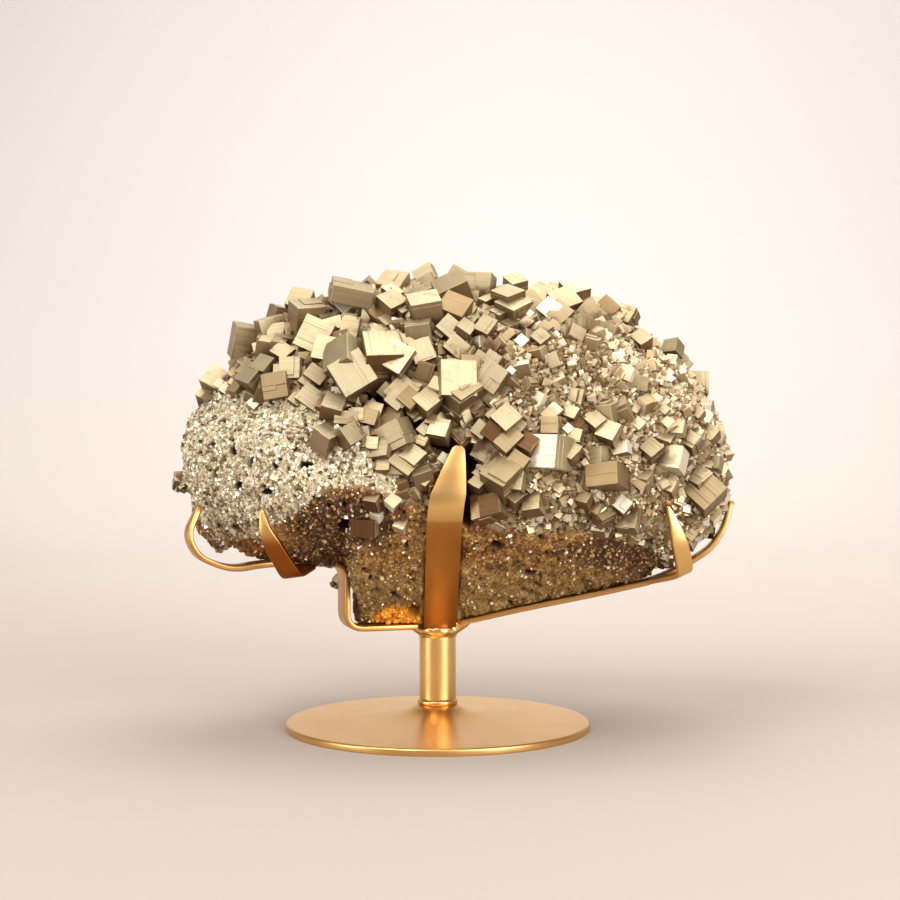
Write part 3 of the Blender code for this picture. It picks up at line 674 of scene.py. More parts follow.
def rock_point(section, angle):
    """A point of the rock on one section. angle runs from the front up over the top."""
    place, top, bottom, front, back, widest, fullness = section
    c, s = math.cos(angle), math.sin(angle)
    power = DOME_FULLNESS if s >= 0 else fullness
    sideways = math.copysign(abs(c) ** (2 / power), c)
    upwards = math.copysign(abs(s) ** (2 / power), s)
    height = widest + upwards * ((top - widest) if s >= 0 else (widest - bottom))
    depth = -sideways * (front if c >= 0 else back)
    if c > 0:
        depth -= lump_size(place, height) * c
    return Vector((place, depth, height))


def rock_sphere(rows):
    """A sphere with its poles on X, with points and faces in one order at every run."""
    drawn = bmesh.new()
    turn = Matrix.Rotation(-math.pi / 2, 4, "Y")
    bmesh.ops.create_uvsphere(drawn, u_segments=ROCK_RING, v_segments=rows + 1, radius=1.0, matrix=turn)
    rings = []
    for face in drawn.faces:
        ring = [vert.index for vert in face.verts]
        start = ring.index(min(ring))
        rings.append(ring[start:] + ring[:start])
    form = bmesh.new()
    verts = [form.verts.new(vert.co) for vert in drawn.verts]
    for ring in sorted(rings):
        form.faces.new([verts[index] for index in ring])
    drawn.free()
    return form


def rock_form():
    """A sphere drawn out along X and fitted, row by row, to the rock's sections."""
    rows = len(ROCK_SECTIONS)
    form = rock_sphere(rows)
    for vert in form.verts:
        row = round(math.acos(max(-1.0, min(1.0, -vert.co.x))) / math.pi * (rows + 1))
        if row in (0, rows + 1):
            end = 0 if row == 0 else 1
            vert.co = Vector((ROCK_ENDS[end], 0, ROCK_END_HEIGHTS[end]))
            continue
        angle = math.atan2(vert.co.z, -vert.co.y)
        vert.co = rock_point(ROCK_SECTIONS[row - 1], angle)
    form.normal_update()
    pick = random.Random(ROCK_SEED)
    shifts = []
    for vert in form.verts:
        coarse = noise.noise(vert.co / ROCK_GRAIN)
        fine = noise.noise(vert.co / (ROCK_GRAIN * 0.4))
        swell = vert.normal * (coarse + 0.6 * fine) * ROCK_ROUGHNESS
        slide = Vector([pick.uniform(-1, 1) * ROCK_JITTER for _ in range(3)])
        shifts.append(swell + slide - vert.normal * slide.dot(vert.normal))
    for vert, shift in zip(form.verts, shifts):
        vert.co += shift
    bmesh.ops.recalc_face_normals(form, faces=form.faces)
    return form


coarse_rock = rock_form()
coarse_surface = BVHTree.FromBMesh(coarse_rock)
print("coarse rock faces:", len(coarse_rock.faces))

# %% [markdown]
# ## Where the large crystals stand
# A cube seen from any side shows three edges that run away from its nearest corner. On the
# picture plane those edges only need directions: the right angles between the real edges
# settle how much each one leans away. So one row of six numbers places a crystal: where its
# nearest corner is seen, how long an edge is, and three directions in degrees.

# %% List the large crystals
CROWN_CRYSTALS = [
    (-110, 219, 18, 351, 260, 130), (-87, 208, 10, 56, 171, 265), (-84, 200, 9.5, 40, 150, 275),
    (-88, 229, 12.5, 347, 150, 255), (-72, 229, 12.5, 66, 169, 280), (-75, 227, 15.5, 4, 140, 268),
    (-63, 201, 17, 64, 156, 325), (-45, 216, 7, 80, 172, 300), (-56, 208, 6, 75, 170, 290),
    (-51, 224, 8, 40, 133, 265), (-32, 228, 8.5, 92, 183, 320), (-56, 239, 21, 349, 100, 258),
    (-21, 238, 14, 55, 172, 280), (-1, 245, 10.5, 115, 208, 322), (13, 238, 11.5, 60, 152, 285),
    (28, 233, 15, 85, 177, 315), (38, 233, 13, 21, 159, 270), (41, 242, 10, 15, 140, 268),
    (-15, 228, 16, 10, 115, 277), (-25, 227, 12, 25, 140, 262), (-5, 219, 12.5, 70, 187, 279),
    (13, 222, 14.5, 158, 55, 262), (7, 211, 10, 47, 140, 250), (-12, 197, 11.5, 20, 112, 250),
    (-38, 202, 18.5, 2, 101, 265), (-48, 200, 17, 92, 209, 326), (55, 235, 11, 30, 150, 275),
    (67, 233, 10, 70, 170, 300),
]
BAND_CRYSTALS = [
    (-50, 179, 18.5, 31, 122, 280), (-81, 180, 13, 97, 190, 345), (-103, 187, 12.5, 50, 160, 310),
    (-121, 184, 12.5, 48, 150, 290), (-75, 190, 11, 88, 182, 330), (-71, 185, 6, 50, 145, 270),
    (-52, 172, 10.5, 68, 165, 262), (-58, 157, 11.5, 25, 146, 255), (-47, 153, 10, 30, 125, 225),
    (-35, 164, 8, 72, 165, 290), (-41, 167, 6.5, 85, 178, 300), (-28, 158, 7, 80, 190, 320),
    (-17, 154, 13.5, 12, 114, 208), (-22, 172, 9, 48, 140, 280), (-15, 173, 9.5, 45, 140, 270),
    (-21, 192, 15, 55, 150, 300), (13, 178, 15, 34, 142, 268), (2, 180, 18, 91, 358, 226),
    (-6, 172, 11, 38, 139, 273), (4, 158, 10, 70, 170, 290), (14, 154, 12.5, 40, 133, 265),
    (32, 144, 14.5, 61, 152, 310), (30, 155, 8, 52, 143, 280), (37, 161, 11.5, 40, 137, 270),
]
SLOPE_CRYSTALS = [
    (61, 221, 10, 45, 142, 270), (67, 226, 14, 20, 130, 260), (73, 237, 12.5, 15, 135, 265),
    (92, 222, 11, 42, 138, 272), (78, 216, 8.5, 91, 193, 340), (56, 208, 7.5, 40, 140, 270),
    (104, 221, 10, 60, 160, 290), (110, 208, 9, 30, 140, 265), (130, 206, 8.5, 80, 190, 310),
    (74, 168, 6.5, 60, 160, 290), (86, 163, 8, 38, 140, 270), (65, 160, 8.5, 88, 180, 300),
    (44, 160, 6.5, 45, 140, 270), (50, 150, 9, 50, 150, 280), (77, 155, 7, 75, 170, 300),
]
RIM_CRYSTALS = [
    (63, 141, 16.5, 85, 178, 348), (72, 146, 10, 45, 150, 270), (89, 144, 8.5, 90, 185, 350),
    (95, 156, 10, 60, 160, 290), (98, 133, 17, 92, 188, 329), (130, 141, 12, 77, 173, 311),
    (116, 147, 9, 40, 140, 270), (138, 152, 8.5, 50, 150, 280), (141, 132, 11, 40, 150, 280),
    (144, 118, 16.5, 45, 137, 270), (107, 109, 10, 80, 175, 300), (101, 116, 7.5, 50, 142, 270),
    (90, 113, 9, 30, 130, 255), (55, 120, 9, 88, 188, 310), (36, 131, 15, 45, 150, 275),
    (45, 129, 10, 80, 175, 310), (34, 118, 11, 97, 195, 330), (44, 138, 9.5, 52, 145, 280),
    (148, 156, 8, 50, 150, 280), (152, 141, 7, 80, 180, 310), (-34, 113, 13, 45, 174, 270),
    (-34, 123, 7.5, 60, 170, 285), (-13, 142, 10, 45, 145, 275), (-27, 140, 7, 80, 180, 310),
    (-140, 130, 7, 45, 150, 275),
]
CRYSTAL_RISE = 0.12
FILL_SEED = 11
FILL_TRIES = 4000
FILL_COUNT = 88
FILL_EDGE_LARGE = (11.0, 17.0)
FILL_EDGE_SMALL = (7.0, 11.0)
FILL_LARGE_SHARE = 0.45
FILL_LARGE_ABOVE = 150.0
FILL_TILT = (0.3, 1.2)                     # radians that a crystal leans from square to the rock
FILL_SPACING = 0.95
FILL_LOWEST = 112.0
FILL_REACH = (-128.0, 146.0)               # furthest left and right
print("crystals placed one by one:",
      sum(map(len, (CROWN_CRYSTALS, BAND_CRYSTALS, SLOPE_CRYSTALS, RIM_CRYSTALS))))

# %% [markdown]
# The rows become matrices here. A ray from the eye through the row's place finds the rock, and
# the crystal's middle is set a little proud of it, so most of the cube is buried as in nature.
# The crown, the ends and the back take more crystals at random; a fixed seed gives the same
# ones every time.

# %% Stand the large crystals on the rock
BESIDE_STEPS = range(-80, 61, 4)           # depths tried for a crystal that is seen beside the rock
BESIDE_PULL = 0.9                          # and how much of the way out to it the crystal stays
# where the front is left bare: the left lobe, the right slope and the matrix
LOBE_RIGHT_END = -20.0
LOBE_TOP = 166.0                           # at the middle, falling by LOBE_FALL a millimetre to the right
LOBE_FALL = 0.1
SLOPE_LEFT_END = 30.0
SLOPE_BACK = -30.0
MATRIX_TOP = 135.0


def edge_vectors(directions):
    """Three edges at right angles whose views run in the given directions."""
    angles = [math.radians(d) for d in directions]
    edges = []
    for i in range(3):
        j, k = (i + 1) % 3, (i + 2) % 3
        ij = -math.cos(angles[i] - angles[j])
        ik = -math.cos(angles[i] - angles[k])
        jk = -math.cos(angles[j] - angles[k])
        lean = math.sqrt(ij * ik / jk)
        short = 1 / math.sqrt(1 + lean * lean)
        edges.append(Vector((short * math.cos(angles[i]), short * math.sin(angles[i]), short * lean)))
    return edges


def sight_frame(target):
    """Right, up and forward for someone who looks from the camera at a target."""
    forward = (target - EYE).normalized()
    right = forward.cross(Vector((0, 0, 1))).normalized()
    up = right.cross(forward)
    return right, up, forward


def crystal_matrix(row, surface):
    """Where a crystal of the tables stands on the rock, as a matrix for a unit cube."""
    across, height, edge, *directions = row
    corner = Vector((across, 0, height))
    right, up, forward = sight_frame(corner)
    axes = [v.x * right + v.y * up + v.z * forward for v in edge_vectors(directions)]
    half = sum(axes, Vector()) * edge / 2
    far = (corner - EYE).length
    middle = corner + half - forward * half.dot(forward)
    sight = (middle - EYE).normalized()
    hit, normal, _, distance = surface.ray_cast(EYE, sight)
    if hit is None:
        steps = [EYE + sight * (far + d) for d in BESIDE_STEPS]
        centre = min(steps, key=lambda p: surface.find_nearest(p)[3])
        near = surface.find_nearest(centre)[0]
        centre = near + (centre - near) * BESIDE_PULL
    else:
        scale = distance / far
        middle = corner + (half - forward * half.dot(forward)) / scale
        sight = (middle - EYE).normalized()
        again, turned_normal, _, distance = surface.ray_cast(EYE, sight)
        if again is None:
            again, turned_normal = hit, normal
        centre = again + turned_normal * edge * CRYSTAL_RISE
    return cube_matrix(centre, axes, edge)


def cube_matrix(centre, axes, edge):
    """A unit cube's matrix from its centre, its edge directions and its edge length."""
    a, b, c = axes
    if a.cross(b).dot(c) < 0:
        a, b = b, a
    turn = Matrix((a, b, c)).transposed().to_4x4()
    return Matrix.Translation(centre * MM) @ turn @ Matrix.Scale(edge * MM, 4)


def on_bare_front(spot):
    """True on the sugary left lobe, the fine-grained right slope and the matrix below."""
    if spot.y > 0:
        return False
    lobe = spot.x < LOBE_RIGHT_END and spot.z < LOBE_TOP - LOBE_FALL * spot.x
    slope = spot.x > SLOPE_LEFT_END and spot.y < SLOPE_BACK
    below = spot.z < MATRIX_TOP
    return lobe or slope or below


def fill_matrices(form, taken):
    """Seeded crystals over the crown, the ends and the back, clear of those placed before."""
    pick = random.Random(FILL_SEED)
    faces = [f for f in form.faces if f.calc_center_median().z > FILL_LOWEST]
    areas = [f.calc_area() for f in faces]
    placed = [(m.translation / MM, m.to_scale().x / MM) for m in taken]
    made = []
    for _ in range(FILL_TRIES):
        face = pick.choices(faces, areas)[0]
        weights = [pick.random() for _ in face.verts]
        spot = sum((v.co * w for v, w in zip(face.verts, weights)), Vector()) / sum(weights)
        large = pick.random() < FILL_LARGE_SHARE and spot.z > FILL_LARGE_ABOVE
        edge = pick.uniform(*(FILL_EDGE_LARGE if large else FILL_EDGE_SMALL))
        turn = Matrix.Rotation(pick.uniform(0, math.tau), 3, "Z")
        tip = Matrix.Rotation(pick.uniform(*FILL_TILT), 3, pick.choice("XY"))
        outward = face.normal.to_track_quat("Z", "Y").to_matrix()
        if on_bare_front(spot) or not FILL_REACH[0] < spot.x < FILL_REACH[1]:
            continue
        if any((spot - other).length < FILL_SPACING * (edge + size) / 2 for other, size in placed):
            continue
        axes = (outward @ turn @ tip).transposed()
        made.append(cube_matrix(spot + face.normal * edge * CRYSTAL_RISE, axes, edge))
        placed.append((spot, edge))
        if len(made) == FILL_COUNT:
            break
    return made


tables = CROWN_CRYSTALS + BAND_CRYSTALS + SLOPE_CRYSTALS + RIM_CRYSTALS
placed_matrices = [crystal_matrix(row, coarse_surface) for row in tables]
large_matrices = placed_matrices + fill_matrices(coarse_rock, placed_matrices)
print("large crystals:", len(large_matrices))

# %% [markdown]
# ## Room for the metal
# The stone sits in its strips, so nothing of the stone may stand in front of one. Each strip's
# ribbon is kept as a search tree. For a point of the stone, the nearest place on a ribbon and
# the side that the point lies on tell how far it has to move back towards the stone's heart. A
# few crystals grew as slabs. They are cut short first, and then every large crystal is cleared.

# %% Keep the strips clear
STONE_HEART = Vector((0, 0, 150))
STRIP_ROOM = STRIP_THICKNESS / 2 + 0.35
ABOVE_THE_METAL = 165                      # no strip reaches the stone higher than this
FACING_SHARE = 0.9                         # least share of the distance that lies square to the ribbon
SLABS = {11: (2, 0.42), 23: (2, 0.6), 71: (1, 0.68), 87: (2, 0.66)}   # by crystal: direction, share kept
ribbons = []
for piece_rows in STRIP_ROWS.values():
    corners = [Vector(p) for row in piece_rows for p in row]
    quads = [(i, i + 1, i + 3, i + 2) for i in range(0, len(corners) - 2, 2)]
    ribbons.append(BVHTree.FromPolygons(corners, quads))


def push_clear(point, margin=0.0, reach=14.0):
    """The shift that brings a point back behind the strip that it stands in front of."""
    for ribbon in ribbons:
        near, normal, _, distance = ribbon.find_nearest(point, reach)
        if near is None or distance < 1e-6:
            continue
        outward = normal if normal.dot(near - STONE_HEART) > 0 else -normal
        depth = outward.dot(point - near)
        if abs(depth) < FACING_SHARE * distance:
            continue
        if depth > -(STRIP_ROOM + margin):
            return -outward * (depth + STRIP_ROOM + margin)
    return Vector((0, 0, 0))


def settle(point, full=3.0, reach=8.0):
    """The shift that lets the stone's underside rest on the two arms beneath it."""
    for ribbon in ribbons[:2]:
        near, normal, _, distance = ribbon.find_nearest(point, reach + STRIP_ROOM)
        if near is None:
            continue
        outward = normal if normal.dot(near - STONE_HEART) > 0 else -normal
        gap = outward.dot(near - point) - STRIP_ROOM
        if outward.z > -0.5 or gap < 0 or gap + STRIP_ROOM < FACING_SHARE * distance:
            continue
        share = min(1.0, max(0.0, (reach - gap) / (reach - full)))
        return outward * gap * share
    return Vector((0, 0, 0))


def metal_gap(point):
    """How far a point lies from the middle of the nearest strip."""
    return min(ribbon.find_nearest(point)[3] for ribbon in ribbons)


def cleared(matrix):
    """A crystal's matrix, moved back so that its corners and the spots between clear the strips."""
    edge = matrix.to_scale().x / MM
    steps = (-0.5, 0, 0.5)
    spots = [matrix @ Vector((x, y, z)) / MM for x in steps for y in steps for z in steps]
    shifts = [push_clear(spot, 0.25, edge) for spot in spots]
    furthest = max(shifts, key=lambda s: s.length)
    return Matrix.Translation(furthest * MM) @ matrix


def cut_short(matrix, direction, share):
    """Shorten a crystal along one of its directions; its nearest corner stays in place."""
    shift, scale = Vector(), Vector((1, 1, 1))
    shift[direction], scale[direction] = (share - 1) / 2, share
    return matrix @ Matrix.Translation(shift) @ Matrix.Diagonal((*scale, 1))


for index, (direction, share) in SLABS.items():
    large_matrices[index] = cut_short(large_matrices[index], direction, share)
large_matrices = [cleared(matrix) for matrix in large_matrices]
print("ribbons:", len(ribbons))

# %% [markdown]
# ## The fine rock
# Between the large crystals the stone shows four kinds of ground: the crown and a band across
# the front with crystals in every size, a sparkling slope on the right, a sugary lobe on the
# left and the brown matrix below. The coarse form is subdivided, more finely where the ground
# lies bare, and each point gets the share of each kind of ground that it belongs to. The same
# shares later choose the colour and the grains.

# %% Refine the rock and divide it into kinds of ground
# the upper edge of each ground as the camera sees it: places across, and the heights there
MATRIX_LINE = ([-140, -131, -123, -116, -107, -97, -91, -82, -73, -64, -57, -51, -37, -21, 0, 18,
                56, 89, 110, 124, 140, 160],
               [118, 114, 106, 101, 102.5, 105, 109.5, 115.5, 121, 130, 134, 133.5, 131, 124, 118, 113,
                107, 107, 102, 92, 92, 90])
LOBE_LINE = ([-135, -122, -105, -92, -75, -61.5, -50.6, -40, -29, -20.6],
             [175.6, 181, 182.7, 181, 178, 171.8, 162, 153.7, 148, 140])
SLOPE_LINE = ([30, 45, 60, 80, 105, 125], [214, 218, 222, 223, 220, 214])
LOBE_SEEN_END = -18.0                      # how far right the lobe reaches, as the camera sees it
FRONT_DEPTH = 5.0                          # ground behind this depth isn't seen from the front
BARE_LOWEST = 56.0
# spots with a colour of their own, as the camera sees them: across, height and two spreads
AMBER_SPOT = (-22, 61, 13, 6)
CHOCOLATE_SPOTS = [(-50, 114, 34, 16), (112, 96, 44, 10), (-62, 96, 20, 8), (-122, 102, 12, 9)]


def seen_at(points):
    """Where points appear, for the camera, on the plane through the post."""
    scale = -EYE.y / (points[:, 1] - EYE.y)
    across = EYE.x + (points[:, 0] - EYE.x) * scale
    height = EYE.z + (points[:, 2] - EYE.z) * scale
    return across, height


def ease(values):
    """Zero below 0, one above 1 and smooth between."""
    t = np.clip(values, 0.0, 1.0)
    return t * t * (3 - 2 * t)


def noise_at(points, size, seed=0.0):
    """Smooth noise from -1 to 1 at many points; size is the width of a wave in mm."""
    shift = Vector((seed, seed * 1.7, seed * 0.6))
    return np.array([noise.noise(Vector(p) / size + shift) for p in points])


def grounds(points, wobble):
    """Shares of matrix, lobe, slope and crown at each point."""
    across, height = seen_at(points)
    matrix = ease((np.interp(across, *MATRIX_LINE) + 4 * wobble - height) / 3.5 + 0.5)
    lobe = (1 - matrix) * ease((np.interp(across, *LOBE_LINE) + 3 * wobble - height) / 5 + 0.5)
    lobe = lobe * ease((LOBE_SEEN_END - across) / 6)
    slope = (1 - matrix) * ease((across - SLOPE_LEFT_END) / 10)
    slope = slope * ease((np.interp(across, *SLOPE_LINE) - height) / 8)
    crown = np.clip(1 - matrix - lobe - slope, 0, 1)
    return matrix, lobe, slope, crown


def refine(form, cuts, chosen=None):
    """Divide faces into four, as often as cuts says, and round the result a little."""
    for _ in range(cuts):
        picked = [e for e in form.edges if chosen is None or all(chosen(v.co) for v in e.verts)]
        bmesh.ops.subdivide_edges(form, edges=picked, cuts=1, use_grid_fill=True, smooth=0.35)


def lies_bare(point):
    """True where few crystals hide the ground from the front."""
    if point.y > FRONT_DEPTH or point.z < BARE_LOWEST:
        return False
    matrix, lobe, *_ = grounds(np.array([point]), np.array([0.0]))
    return matrix[0] > 0.3 or lobe[0] > 0.3


fine_rock = rock_form()
refine(fine_rock, 3)
refine(fine_rock, 1, lies_bare)
bmesh.ops.triangulate(fine_rock, faces=fine_rock.faces)
bmesh.ops.recalc_face_normals(fine_rock, faces=fine_rock.faces)
fine_rock.normal_update()
points = np.array([v.co for v in fine_rock.verts])
normals = np.array([v.normal for v in fine_rock.verts])
wobble = noise_at(points, 14.0, 3.0)
matrix_share, lobe_share, slope_share, crown_share = grounds(points, wobble)
print("fine rock points:", len(points), "triangles:", len(fine_rock.faces))

# %% [markdown]
# Next the ground is made rough. The matrix is broken rock, so its noise is folded to give
# sharp ridges; the lobe swells softly and is pierced by pits where old grains fell out. Points
# that would stand in front of a metal strip are pushed back behind it.

# %% Roughen the ground
# where a pit is seen, across and up, and half its width and height
ROCK_PITS = [(-130.5, 156, 2.4, 2.0), (-123, 154, 1.6, 1.8), (-111.7, 151.3, 2.0, 4.0),
             (-101.8, 144, 1.5, 3.2), (-89, 142.5, 1.6, 2.8), (-77.6, 151.3, 1.9, 1.5),
             (-72.2, 143, 4.2, 2.1), (-70.8, 137, 1.1, 2.4), (-121.4, 137.5, 1.7, 3.0),
             (-109, 131.3, 2.2, 2.2), (-93.4, 128, 2.8, 2.6), (-50.9, 110.7, 3.0, 4.2),
             (-17, 99, 1.6, 1.8), (33, 99, 4.6, 2.0), (52, 84, 5.0, 1.6), (-37, 81, 1.4, 1.6),
             (-13, 64.5, 4.0, 1.8)]
SMALL_PITS = 170
NOTCH = (-112, 94, 7, 8)                   # beside the root at the left end: place, height, spreads
LEFT_END_DRAWN_IN = 2.6
# rock that hangs lower: place, half width, how far down, and the depth where it starts
HANGING = [(-66, 11, 6.5, -29.0), (-94, 5, 3.0, -36.0), (-124, 8, 5.5, 20.0)]
# gaps between the crystals, carved in and painted near black as shade, as lines of places that the camera
# sees
GAP_LINES = [[(-34, 181), (-25, 173), (-4, 158), (17, 146)], [(16.5, 150), (16.5, 114)],
             [(-34, 181), (-46, 188)]]


def pit_rows():
    """All pits, the small ones strewn at random over the lobe and the matrix."""
    pick = random.Random(21)
    rows = list(ROCK_PITS)
    for number in range(SMALL_PITS):
        on_lobe = number % 2 == 0
        across = pick.uniform(-134, -28) if on_lobe else pick.uniform(-60, 110)
        height = pick.uniform(106, 178) if on_lobe else pick.uniform(66, 122)
        rows.append((across, height, pick.uniform(0.6, 1.7), pick.uniform(0.5, 1.3)))
    return rows


def distance_to_line(across, height, line):
    """How far each seen place lies from a line of corners."""
    best = np.full(len(across), 1e9)
    for (ax, az), (bx, bz) in zip(line, line[1:]):
        length = (bx - ax) ** 2 + (bz - az) ** 2
        t = np.clip(((across - ax) * (bx - ax) + (height - az) * (bz - az)) / length, 0, 1)
        best = np.minimum(best, np.hypot(across - ax - t * (bx - ax), height - az - t * (bz - az)))
    return best


ridges = 1 - 2 * np.abs(noise_at(points, 9.0, 1.0))
fine_ridges = 1 - 2 * np.abs(noise_at(points, 3.6, 2.0))
swells = noise_at(points, 8.0, 5.0)
grit = noise_at(points, 2.0, 6.0)
lift = matrix_share * (2.0 * ridges + 1.5 * fine_ridges + 0.9 * grit - 1.1)
lift += lobe_share * (1.3 * swells + 0.5 * fine_ridges + 0.5 * grit)
lift += (slope_share + crown_share) * (1.0 * swells + 0.5 * fine_ridges)
lift -= crown_share * 2.4 + slope_share * 1.2
# how far each point lies in a pit or a gap; these places are painted near black later, as painted shade
hollow = np.zeros(len(points))
across, height = seen_at(points)
front = points[:, 1] < FRONT_DEPTH
ragged = 0.35 * noise_at(points, 2.6, 9.0) + 0.2 * grit
for pit_across, pit_height, wide, tall in pit_rows():
    away = np.hypot((across - pit_across) / wide, (height - pit_height) / tall) + ragged
    inside = np.clip(1.3 - away ** 2, 0, 1) * (lobe_share + matrix_share) * front
    hollow = np.maximum(hollow, inside)
    lift -= 2.2 * min(wide, tall) * inside
for line in GAP_LINES:
    inside = ease(1.8 - distance_to_line(across, height, line) / 3.2) * front
    hollow = np.maximum(hollow, inside)
    lift -= 7.0 * inside
notch_away = np.hypot((points[:, 0] - NOTCH[0]) / NOTCH[2], (points[:, 2] - NOTCH[1]) / NOTCH[3])
lift -= 6.0 * np.clip(1.2 - notch_away, 0, 1)
points = points + normals * lift[:, None]
points[:, 0] += LEFT_END_DRAWN_IN * ease((-121 - points[:, 0]) / 9)
for place, wide, drop, start in HANGING:
    share = ease(1.5 - np.abs(across - place) / wide) * ease((start - points[:, 1]) / 3)
    points[:, 2] -= drop * share * ease((106 - height) / 9)
for index in np.nonzero(points[:, 2] < ABOVE_THE_METAL)[0]:
    points[index] += np.array(settle(Vector(points[index])))
    points[index] += np.array(push_clear(Vector(points[index]), 0.1, 6.0))
for vert, place in zip(fine_rock.verts, points):
    vert.co = Vector(place) * MM
fine_rock.normal_update()
normals = np.array([v.normal for v in fine_rock.verts])
triangles = np.array([[v.index for v in f.verts] for f in fine_rock.faces])
rock_mesh = bpy.data.meshes.new("rock")
fine_rock.to_mesh(rock_mesh)
fine_rock.free()
rock_mesh.shade_smooth()
amber_share = ease(1.4 - ((across - AMBER_SPOT[0]) / AMBER_SPOT[2]) ** 2
                   - ((height - AMBER_SPOT[1]) / AMBER_SPOT[3]) ** 2)
chocolate_share = np.zeros(len(points))
for spot_across, spot_height, wide, tall in CHOCOLATE_SPOTS:
    chocolate_share = np.maximum(chocolate_share, ease(
        1.4 + 0.4 * swells - ((across - spot_across) / wide) ** 2
        - ((height - spot_height) / tall) ** 2))
olive_share = matrix_share * ease((92 - height) / 16 + 0.5 * swells + 0.2)


def store(mesh, label, values):
    """Keep one value for each point of a mesh, where a shader can read it."""
    mesh.attributes.new(label, "FLOAT", "POINT").data.foreach_set("value", values.astype(np.float32))


for label, values in (("lobe", lobe_share), ("chocolate", chocolate_share), ("olive", olive_share),
                      ("amber", amber_share), ("hollow", hollow), ("lift", lift)):
    store(rock_mesh, label, values)
print("lift from", round(float(lift.min()), 2), "to", round(float(lift.max()), 2), "mm")

# %% [markdown]
# ## The rock's finish
# Pyrite dust, rust and clay share this ground. Four browns are mixed by noise. The low ground
# between ridges, and the pits and gaps, are painted near black as shade and lose their shine.
# Over them lie tiny crystal faces: a Voronoi texture gives each cell its own tilt, so some cells
# flash and their neighbours stay dark. The lobe is paler and more metallic, because there the
# cells are all pyrite.

# %% Mix the rock's finish
def glitter_normal(tree, scale, strength):
    """A normal that jumps from cell to cell, as over a crust of tiny crystals."""
    place = add_node(tree, "ShaderNodeTexCoord").outputs["Object"]
    cells = add_node(tree, "ShaderNodeTexVoronoi", {"Vector": place, "Scale": scale})
    centred = add_node(tree, "ShaderNodeVectorMath", {0: cells.outputs["Color"], 1: (0.5, 0.5, 0.5)},
                       operation="SUBTRACT")
    tilt = add_node(tree, "ShaderNodeVectorMath", {0: centred.outputs[0], "Scale": strength},
                    operation="SCALE")
    true_normal = add_node(tree, "ShaderNodeNewGeometry").outputs["Normal"]
    total = add_node(tree, "ShaderNodeVectorMath", {0: true_normal, 1: tilt.outputs[0]},
                     operation="ADD")
    unit = add_node(tree, "ShaderNodeVectorMath", {0: total.outputs[0]}, operation="NORMALIZE")
    return unit.outputs[0], cells


def mix_rock():
    """The brown matrix, the pale lobe and the ground between the crystals."""
    made, tree, shader = new_material("pyrite_ground")
    lobe = attribute(tree, "lobe")
    browns = ramp(tree, cloud(tree, 60.0, 4.0), [(0.30, rgb(98, 58, 28)), (0.46, rgb(156, 106, 54)),
                                                 (0.58, rgb(194, 150, 84)), (0.72, rgb(126, 82, 42))])
    specks = remap(tree, cloud(tree, 900.0, 2.0), 0.75, 0.0, 0.36, 0.56)
    browns = blend(tree, specks, browns, rgb(52, 34, 22))
    browns = blend(tree, attribute(tree, "chocolate"), browns, rgb(74, 46, 26))
    olive = math_node(tree, "MULTIPLY", attribute(tree, "olive"), 0.55)
    browns = blend(tree, olive, browns, rgb(150, 128, 80))
    ground = blend(tree, lobe, browns, rgb(196, 182, 148))
    # painted shade: the low ground between ridges and lumps is painted near black
    cavity_shade = remap(tree, attribute(tree, "lift"), 0.85, 0.0, -2.6, 0.2)
    ground = blend(tree, cavity_shade, ground, rgb(44, 28, 15))
    ground = blend(tree, attribute(tree, "amber"), ground, rgb(224, 148, 36))
    # painted shade: pits and gaps are painted near black and lose their metal and their shine
    hollow = math_node(tree, "MULTIPLY", attribute(tree, "hollow"), 0.92)
    ground = blend(tree, hollow, ground, rgb(46, 29, 13))
    facets, cells = glitter_normal(tree, 1100.0, 0.75)
    flash = remap(tree, add_node(tree, "ShaderNodeSeparateColor",
                                 {"Color": cells.outputs["Color"]}).outputs["Red"], 0.0, 1.0, 0.35, 0.75)
    metal = math_node(tree, "MULTIPLY_ADD", lobe, 0.2, math_node(tree, "MULTIPLY", flash, 0.35))
    metal = math_node(tree, "MULTIPLY_ADD", hollow, -0.5, metal)
    tree.links.new(ground, shader.inputs["Base Color"])
    tree.links.new(metal, shader.inputs["Metallic"])
    tree.links.new(facets, shader.inputs["Normal"])
    tree.links.new(math_node(tree, "MULTIPLY_ADD", hollow, 0.45, 0.48), shader.inputs["Roughness"])
    tree.links.new(math_node(tree, "MULTIPLY_ADD", hollow, -0.5, 0.5), shader.inputs["Specular IOR Level"])
    return made


show("rock", rock_mesh, mix_rock(), "pyrite")
print("rock triangles:", len(rock_mesh.polygons))

# %% [markdown]
# ## A crystal's blocks
# A natural pyrite cube is never a plain cube. Its faces are stacks of narrow bars with fine
# grooves between them, and the grooves on the three kinds of face run at right angles to one
# another. So every crystal here is a core with bars laid on its outer faces, and often a few
# smaller blocks that share its directions. One function builds all blocks of a group at once
# from arrays: each block has 24 points, four to a face, which leaves room for bevelled edges.
# Where a block is too small for its edges to be seen, their faces are left out.

# %% Define the block
LIMITS = np.array([tuple(corner) for corner in cad_box]) / MM + np.array([[0.05], [-0.05]])
CORNER_SIGNS = np.array([(x, y, z) for x in (-1, 1) for y in (-1, 1) for z in (-1, 1)], float)
GOLDEN_SHARE = 0.6180339                   # spreads the crystals' own numbers evenly from 0 to 1


def corner_at(signs):
    """The number of the corner with these signs."""
    return int(np.nonzero((CORNER_SIGNS == np.array(signs)).all(axis=1))[0][0])


def corner_ring(k, sign):
    """The corners round the face across axis k, on its low or high side."""
    a, b = (k + 1) % 3, (k + 2) % 3
    ring = []
    for sa, sb in ((-1, -1), (1, -1), (1, 1), (-1, 1)):
        want = [0, 0, 0]
        want[k], want[a], want[b] = sign, sa, sb
        ring.append(corner_at(want))
    return ring


